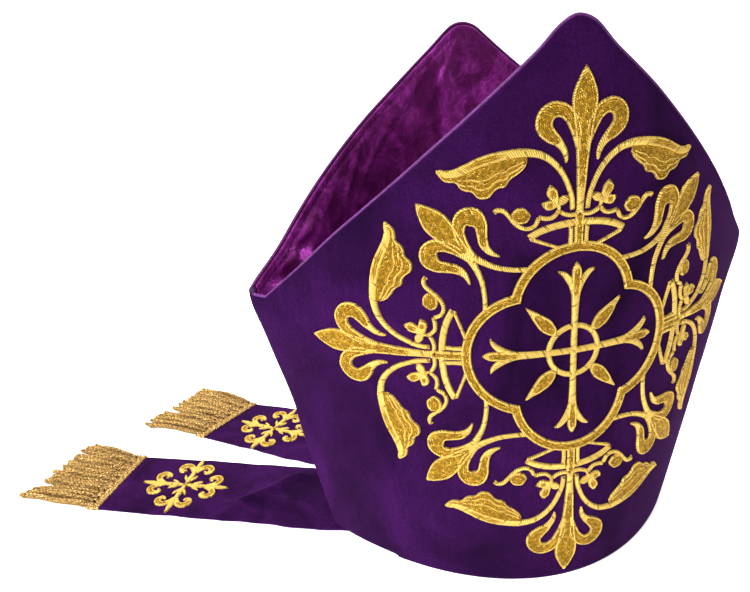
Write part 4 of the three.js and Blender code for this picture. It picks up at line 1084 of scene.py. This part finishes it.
def glinting(tree, surface, glint, metallic, more_metallic, roughness, less_rough):
    """More metallic and smoother where the thread glints"""
    metal = maths(tree, "ADD", metallic, times(tree, glint, more_metallic))
    tree.links.new(metal, surface.inputs["Metallic"])
    rough = maths(tree, "SUBTRACT", roughness, times(tree, glint, less_rough))
    tree.links.new(rough, surface.inputs["Roughness"])


def gold_material(colours, stitches):
    material, tree, surface = new_material("Gold thread", Specular_IOR_Level=0.4,
                                           Specular_Tint=(0.90, 0.66, 0.30, 1.0))
    along, across = cloth_axes(tree)
    satin = put_group(tree, stitches, Along=along, Across=across, Pitch=1.15, Slant=0.55,
                      Stitch_Length=40.0)
    rows = put_group(tree, stitches, Along=across, Across=along, Pitch=0.95, Slant=0.12,
                     Stitch_Length=1.25)
    edge = ramp(tree, mask_of(tree), 0.3, 0.7)
    height = blend_values(tree, edge, rows.outputs["Height"], satin.outputs["Height"])
    satin_glint = times(tree, satin.outputs["Glint"], 0.5)
    glint = blend_values(tree, edge, rows.outputs["Glint"], satin_glint)
    # Painted glints and shade: by each stitch's random glint the fill is painted from a darker shaded copy of
    # the gold up to the highlight gold, and the satin borders are painted paler towards the highlight gold as
    # sheen
    shaded_gold = tuple(value * 0.42 for value in colours.gold)
    fill = blend_colours(tree, ramp(tree, glint, 0.0, 0.7), shaded_gold, colours.gold)
    fill = blend_colours(tree, ramp(tree, glint, 0.7, 1.3), fill, colours.gold_highlight)
    pale = tuple((low + 2 * high) / 3 for low, high in zip(colours.gold, colours.gold_highlight))
    line = blend_colours(tree, glint, pale, colours.gold_highlight)
    shade = blend_colours(tree, edge, fill, line)
    # Painted shade: the gold is darkened towards dark brown where the stitches dip into grooves
    groove_shade = maths(tree, "SUBTRACT", 1.0, ramp(tree, height, 0.0, 0.55))
    shade = blend_colours(tree, times(tree, groove_shade, 0.9), shade, GOLD_GROOVE_SHADE)
    tree.links.new(shade, surface.inputs["Base Color"])
    glinting(tree, surface, glint, 0.5, 0.35, 0.46, 0.2)
    bumped(tree, surface, height, 1.0, 0.0006)
    return material


def bullion_material(colours, stitches):
    material, tree, surface = new_material("Gold bullion", Specular_IOR_Level=0.4,
                                           Specular_Tint=(0.85, 0.55, 0.22, 1.0))
    along, across = cloth_axes(tree)
    wound = put_group(tree, stitches, Along=along, Across=across, Pitch=0.8, Slant=0.5,
                      Stitch_Length=5.0)
    beads = put_group(tree, stitches, Along=along, Across=across, Pitch=2.3, Slant=0.35,
                      Stitch_Length=6.0)
    dark = tuple(value * 0.55 for value in colours.bullion)
    shade = blend_colours(tree, mask_of(tree), dark, colours.bullion)
    shade = blend_colours(tree, times(tree, wound.outputs["Glint"], 0.25), shade, BULLION_GLINT)
    # Painted shade: the bullion is darkened towards dark brown in the hollows between its beads
    hollow = maths(tree, "SUBTRACT", 1.0, ramp(tree, beads.outputs["Height"], 0.1, 0.75))
    shade = blend_colours(tree, times(tree, hollow, 0.85), shade, BULLION_HOLLOW_SHADE)
    tree.links.new(shade, surface.inputs["Base Color"])
    glinting(tree, surface, wound.outputs["Glint"], 0.75, 0.25, 0.40, 0.22)
    height = maths(tree, "ADD", wound.outputs["Height"], times(tree, beads.outputs["Height"], 2.0))
    bumped(tree, surface, height, 0.8, 0.0004)
    return material


def finish_named(name, maker):
    """The material of that name, made the first time it is asked for"""
    return bpy.data.materials.get(name) or maker()


def group_named(name, maker):
    return bpy.data.node_groups.get(name) or maker()


def velvet_for(colours, name, brush_scale, sheen):
    pile = group_named("Velvet pile", pile_group)
    return finish_named(name, lambda: velvet_material(name, colours, pile, brush_scale, sheen))


def gold_for(colours):
    stitches = group_named("Stitched thread", stitch_group)
    return finish_named("Gold thread", lambda: gold_material(colours, stitches))


# Operators

class MITRE_OT_horns(bpy.types.Operator):
    """Build the two velvet horns"""
    bl_idname = "mitre.horns"
    bl_label = "Velvet horns"

    def execute(self, context):
        shape, colours = Shape(context.scene.mitre_sizes), context.scene.mitre_colours
        velvet = velvet_for(colours, "Horn velvet", 15.0, 0.16)
        for side in ("front", "rear"):
            build_horn(shape, side, velvet)
        return {"FINISHED"}


class MITRE_OT_lining(bpy.types.Operator):
    """Build the satin lining and the piping on the upper edges"""
    bl_idname = "mitre.lining"
    bl_label = "Lining and piping"

    def execute(self, context):
        shape, colours = Shape(context.scene.mitre_sizes), context.scene.mitre_colours
        lining = build_lining(shape, finish_named("Jacquard satin", lambda: lining_material(colours)))
        stitches = group_named("Stitched thread", stitch_group)
        for side, satin in (("front", colours.piping), ("rear", colours.rear_piping)):
            build_piping(shape, side, piping_material(f"{side.title()} piping", satin, stitches))
        return {"FINISHED"}


class MITRE_OT_embroidery(bpy.types.Operator):
    """Stitch the medallion, crowns, fleurs and leaves on the front horn"""
    bl_idname = "mitre.embroidery"
    bl_label = "Gold embroidery"

    def execute(self, context):
        shape = Shape(context.scene.mitre_sizes)
        work = Embroidery(shape, gold_for(context.scene.mitre_colours))
        work.medallion()
        for place, turn in (("top", 0), ("left", 90), ("bottom", 180), ("right", 270)):
            work.crown(place, turn)
            work.fleur(place, turn)
            work.leaf(place, "a", turn, 1)
            work.leaf(place, "b", turn, -1)
        corners = ("upper_left", "lower_left", "lower_right", "upper_right")
        for quarter, place in enumerate(corners):
            work.corner_fleur(place, 90 * quarter)
        return {"FINISHED"}


class MITRE_OT_lappets(bpy.types.Operator):
    """Build the two lappets with their crosses and fringes"""
    bl_idname = "mitre.lappets"
    bl_label = "Lappets and fringes"

    def execute(self, context):
        shape, colours = Shape(context.scene.mitre_sizes), context.scene.mitre_colours
        stitches = group_named("Stitched thread", stitch_group)
        bullion = finish_named("Gold bullion", lambda: bullion_material(colours, stitches))
        velvet = velvet_for(colours, "Lappet velvet", 34.0, 0.12)
        for place, lappet in (("near", NEAR_LAPPET), ("far", FAR_LAPPET)):
            strip = build_lappet(shape, place, lappet, velvet)
            cross = build_lappet_cross(shape, place, lappet, gold_for(colours))
            fringe = build_fringe(shape, place, lappet, bullion)
        return {"FINISHED"}


class MITRE_OT_stage(bpy.types.Operator):
    """Set the pale floor, the soft studio lights and the camera"""
    bl_idname = "mitre.stage"
    bl_label = "Stage"

    def execute(self, context):
        colours = context.scene.mitre_colours
        shape = Shape(context.scene.mitre_sizes)
        build_floor(colours)
        build_lights(shape)
        build_camera(shape)
        return {"FINISHED"}


def build_floor(colours):
    """Pale table that bends up into a backdrop, in metres"""
    front, rear, bend_radius, top, half_width = -3.0, 2.2, 0.8, 4.0, 5
    flat = np.linspace(front, rear, 30)
    bend = np.linspace(0, math.pi / 2, 16)[1:]
    y = np.concatenate([flat, rear + bend_radius * np.sin(bend), [rear + bend_radius]])
    z = np.concatenate([flat * 0, bend_radius * (1 - np.cos(bend)), [top]])
    x = np.linspace(-half_width, half_width, 12)
    grid = np.stack(np.broadcast_arrays(x[None, :], y[:, None], z[:, None]), -1) / MILLIMETRE
    just_below = np.array([0.0, 0.0, -0.0002])
    floor = build_mesh("floor", [(grid, grid[..., :2] * MILLIMETRE, 0.0)], just_below)
    material, tree, surface = new_material("Floor", Roughness=0.9, Specular_IOR_Level=0.2,
                                           Emission_Color=(1.0, 1.0, 1.0, 1.0), Emission_Strength=0.65)
    place = put(tree, "ShaderNodeTexCoord")
    grain = noise(tree, place.outputs["Object"], 300.0, 2.0)
    light = tuple(min(1.0, value * 1.02) for value in colours.floor)
    shade = blend_colours(tree, grain, colours.floor, light)
    tree.links.new(shade, surface.inputs["Base Color"])
    floor.data.materials.append(material)


def build_lights(shape):
    """Soft lights round the mitre; each row has its place, aim, size, power, spread and tint"""
    centre = Vector(shape.origin) + Vector((-0.02, 0.0, 0.14))
    neutral, warm = (1.0, 1.0, 1.0), (1.0, 0.74, 0.48)
    for name, place, aim, size, power, spread, tint in (
            ("key_light", (-0.86, -0.62, 0.50), (-0.12, -0.05, -0.12), 0.5, 2.9, 60.0, neutral),
            ("top_light", (-0.5, 0.3, 1.6), (0, 0, 0), 1.0, 9.0, 180.0, warm),
            ("lining_light", (0.48, 0.16, 0.62), (-0.13, 0.06, 0.02), 0.25, 0.42, 60.0, neutral),
            ("fill_light", (0.6, -1.8, 0.8), (0, 0, 0), 1.2, 3.0, 180.0, warm),
            ("backdrop_light", (0.0, 1.0, 2.2), (0, 2.6, 0), 2.5, 90.0, 180.0, neutral)):
        light = bpy.data.lights.new(name, "AREA")
        light.size, light.energy, light.spread, light.color = size, power, math.radians(spread), tint
        lamp = bpy.data.objects.new(name, light)
        lamp.location = centre + Vector(place)
        lamp.rotation_euler = (centre + Vector(aim) - lamp.location).to_track_quat("-Z", "Y").to_euler()
        bpy.context.scene.collection.objects.link(lamp)
    world = bpy.data.worlds.new("Studio")
    world.use_nodes = True
    world.node_tree.nodes["Background"].inputs[0].default_value = (1.0, 1.0, 1.0, 1.0)
    world.node_tree.nodes["Background"].inputs[1].default_value = 0.19
    bpy.context.scene.world = world
    bpy.context.scene.view_settings.view_transform = "Standard"


def build_camera(shape):
    """Camera fitted to the photograph"""
    distance = 0.44277
    azimuth, elevation, roll = (math.radians(value) for value in (-9.95, 19.84, -3.52))
    back = Vector((math.sin(azimuth) * math.cos(elevation), -math.cos(azimuth) * math.cos(elevation),
                   math.sin(elevation)))
    right = (-back).cross(Vector((0, 0, 1))).normalized()
    up = right.cross(-back)
    turned_right = right * math.cos(roll) + up * math.sin(roll)
    turned_up = up * math.cos(roll) - right * math.sin(roll)
    target = Vector(shape.origin) + Vector((-0.08227, 0.0, 0.15598))
    camera = bpy.data.cameras.new("camera")
    camera.sensor_width, camera.lens = 36.0, 35.93
    camera.clip_start = 0.01
    stand = bpy.data.objects.new("camera", camera)
    axes = Matrix((turned_right, turned_up, back)).transposed()
    stand.matrix_world = Matrix.Translation(target + back * distance) @ axes.to_4x4()
    bpy.context.scene.collection.objects.link(stand)
    bpy.context.scene.camera = stand


class MITRE_PT_panel(bpy.types.Panel):
    """Buttons, sizes and colours of the mitre"""
    bl_idname = "MITRE_PT_panel"
    bl_label = "Mitre"
    bl_space_type = "VIEW_3D"
    bl_region_type = "UI"
    bl_category = "Mitre"

    def draw(self, context):
        for step in STEPS:
            self.layout.operator(step.bl_idname)
        for group in (context.scene.mitre_sizes, context.scene.mitre_colours):
            for name in group.__annotations__:
                self.layout.prop(group, name)


STEPS = (MITRE_OT_stage, MITRE_OT_horns, MITRE_OT_lining, MITRE_OT_embroidery, MITRE_OT_lappets)
CLASSES = (MitreSizes, MitreColours, *STEPS, MITRE_PT_panel)


def register():
    for item in CLASSES:
        bpy.utils.register_class(item)
    bpy.types.Scene.mitre_sizes = PointerProperty(type=MitreSizes)
    bpy.types.Scene.mitre_colours = PointerProperty(type=MitreColours)


def unregister():
    del bpy.types.Scene.mitre_colours
    del bpy.types.Scene.mitre_sizes
    for item in reversed(CLASSES):
        bpy.utils.unregister_class(item)


def main():
    register()
    bpy.ops.mitre.stage()
    bpy.ops.mitre.horns()
    bpy.ops.mitre.lining()
    bpy.ops.mitre.embroidery()
    bpy.ops.mitre.lappets()


if __name__ == "__main__":
    main()
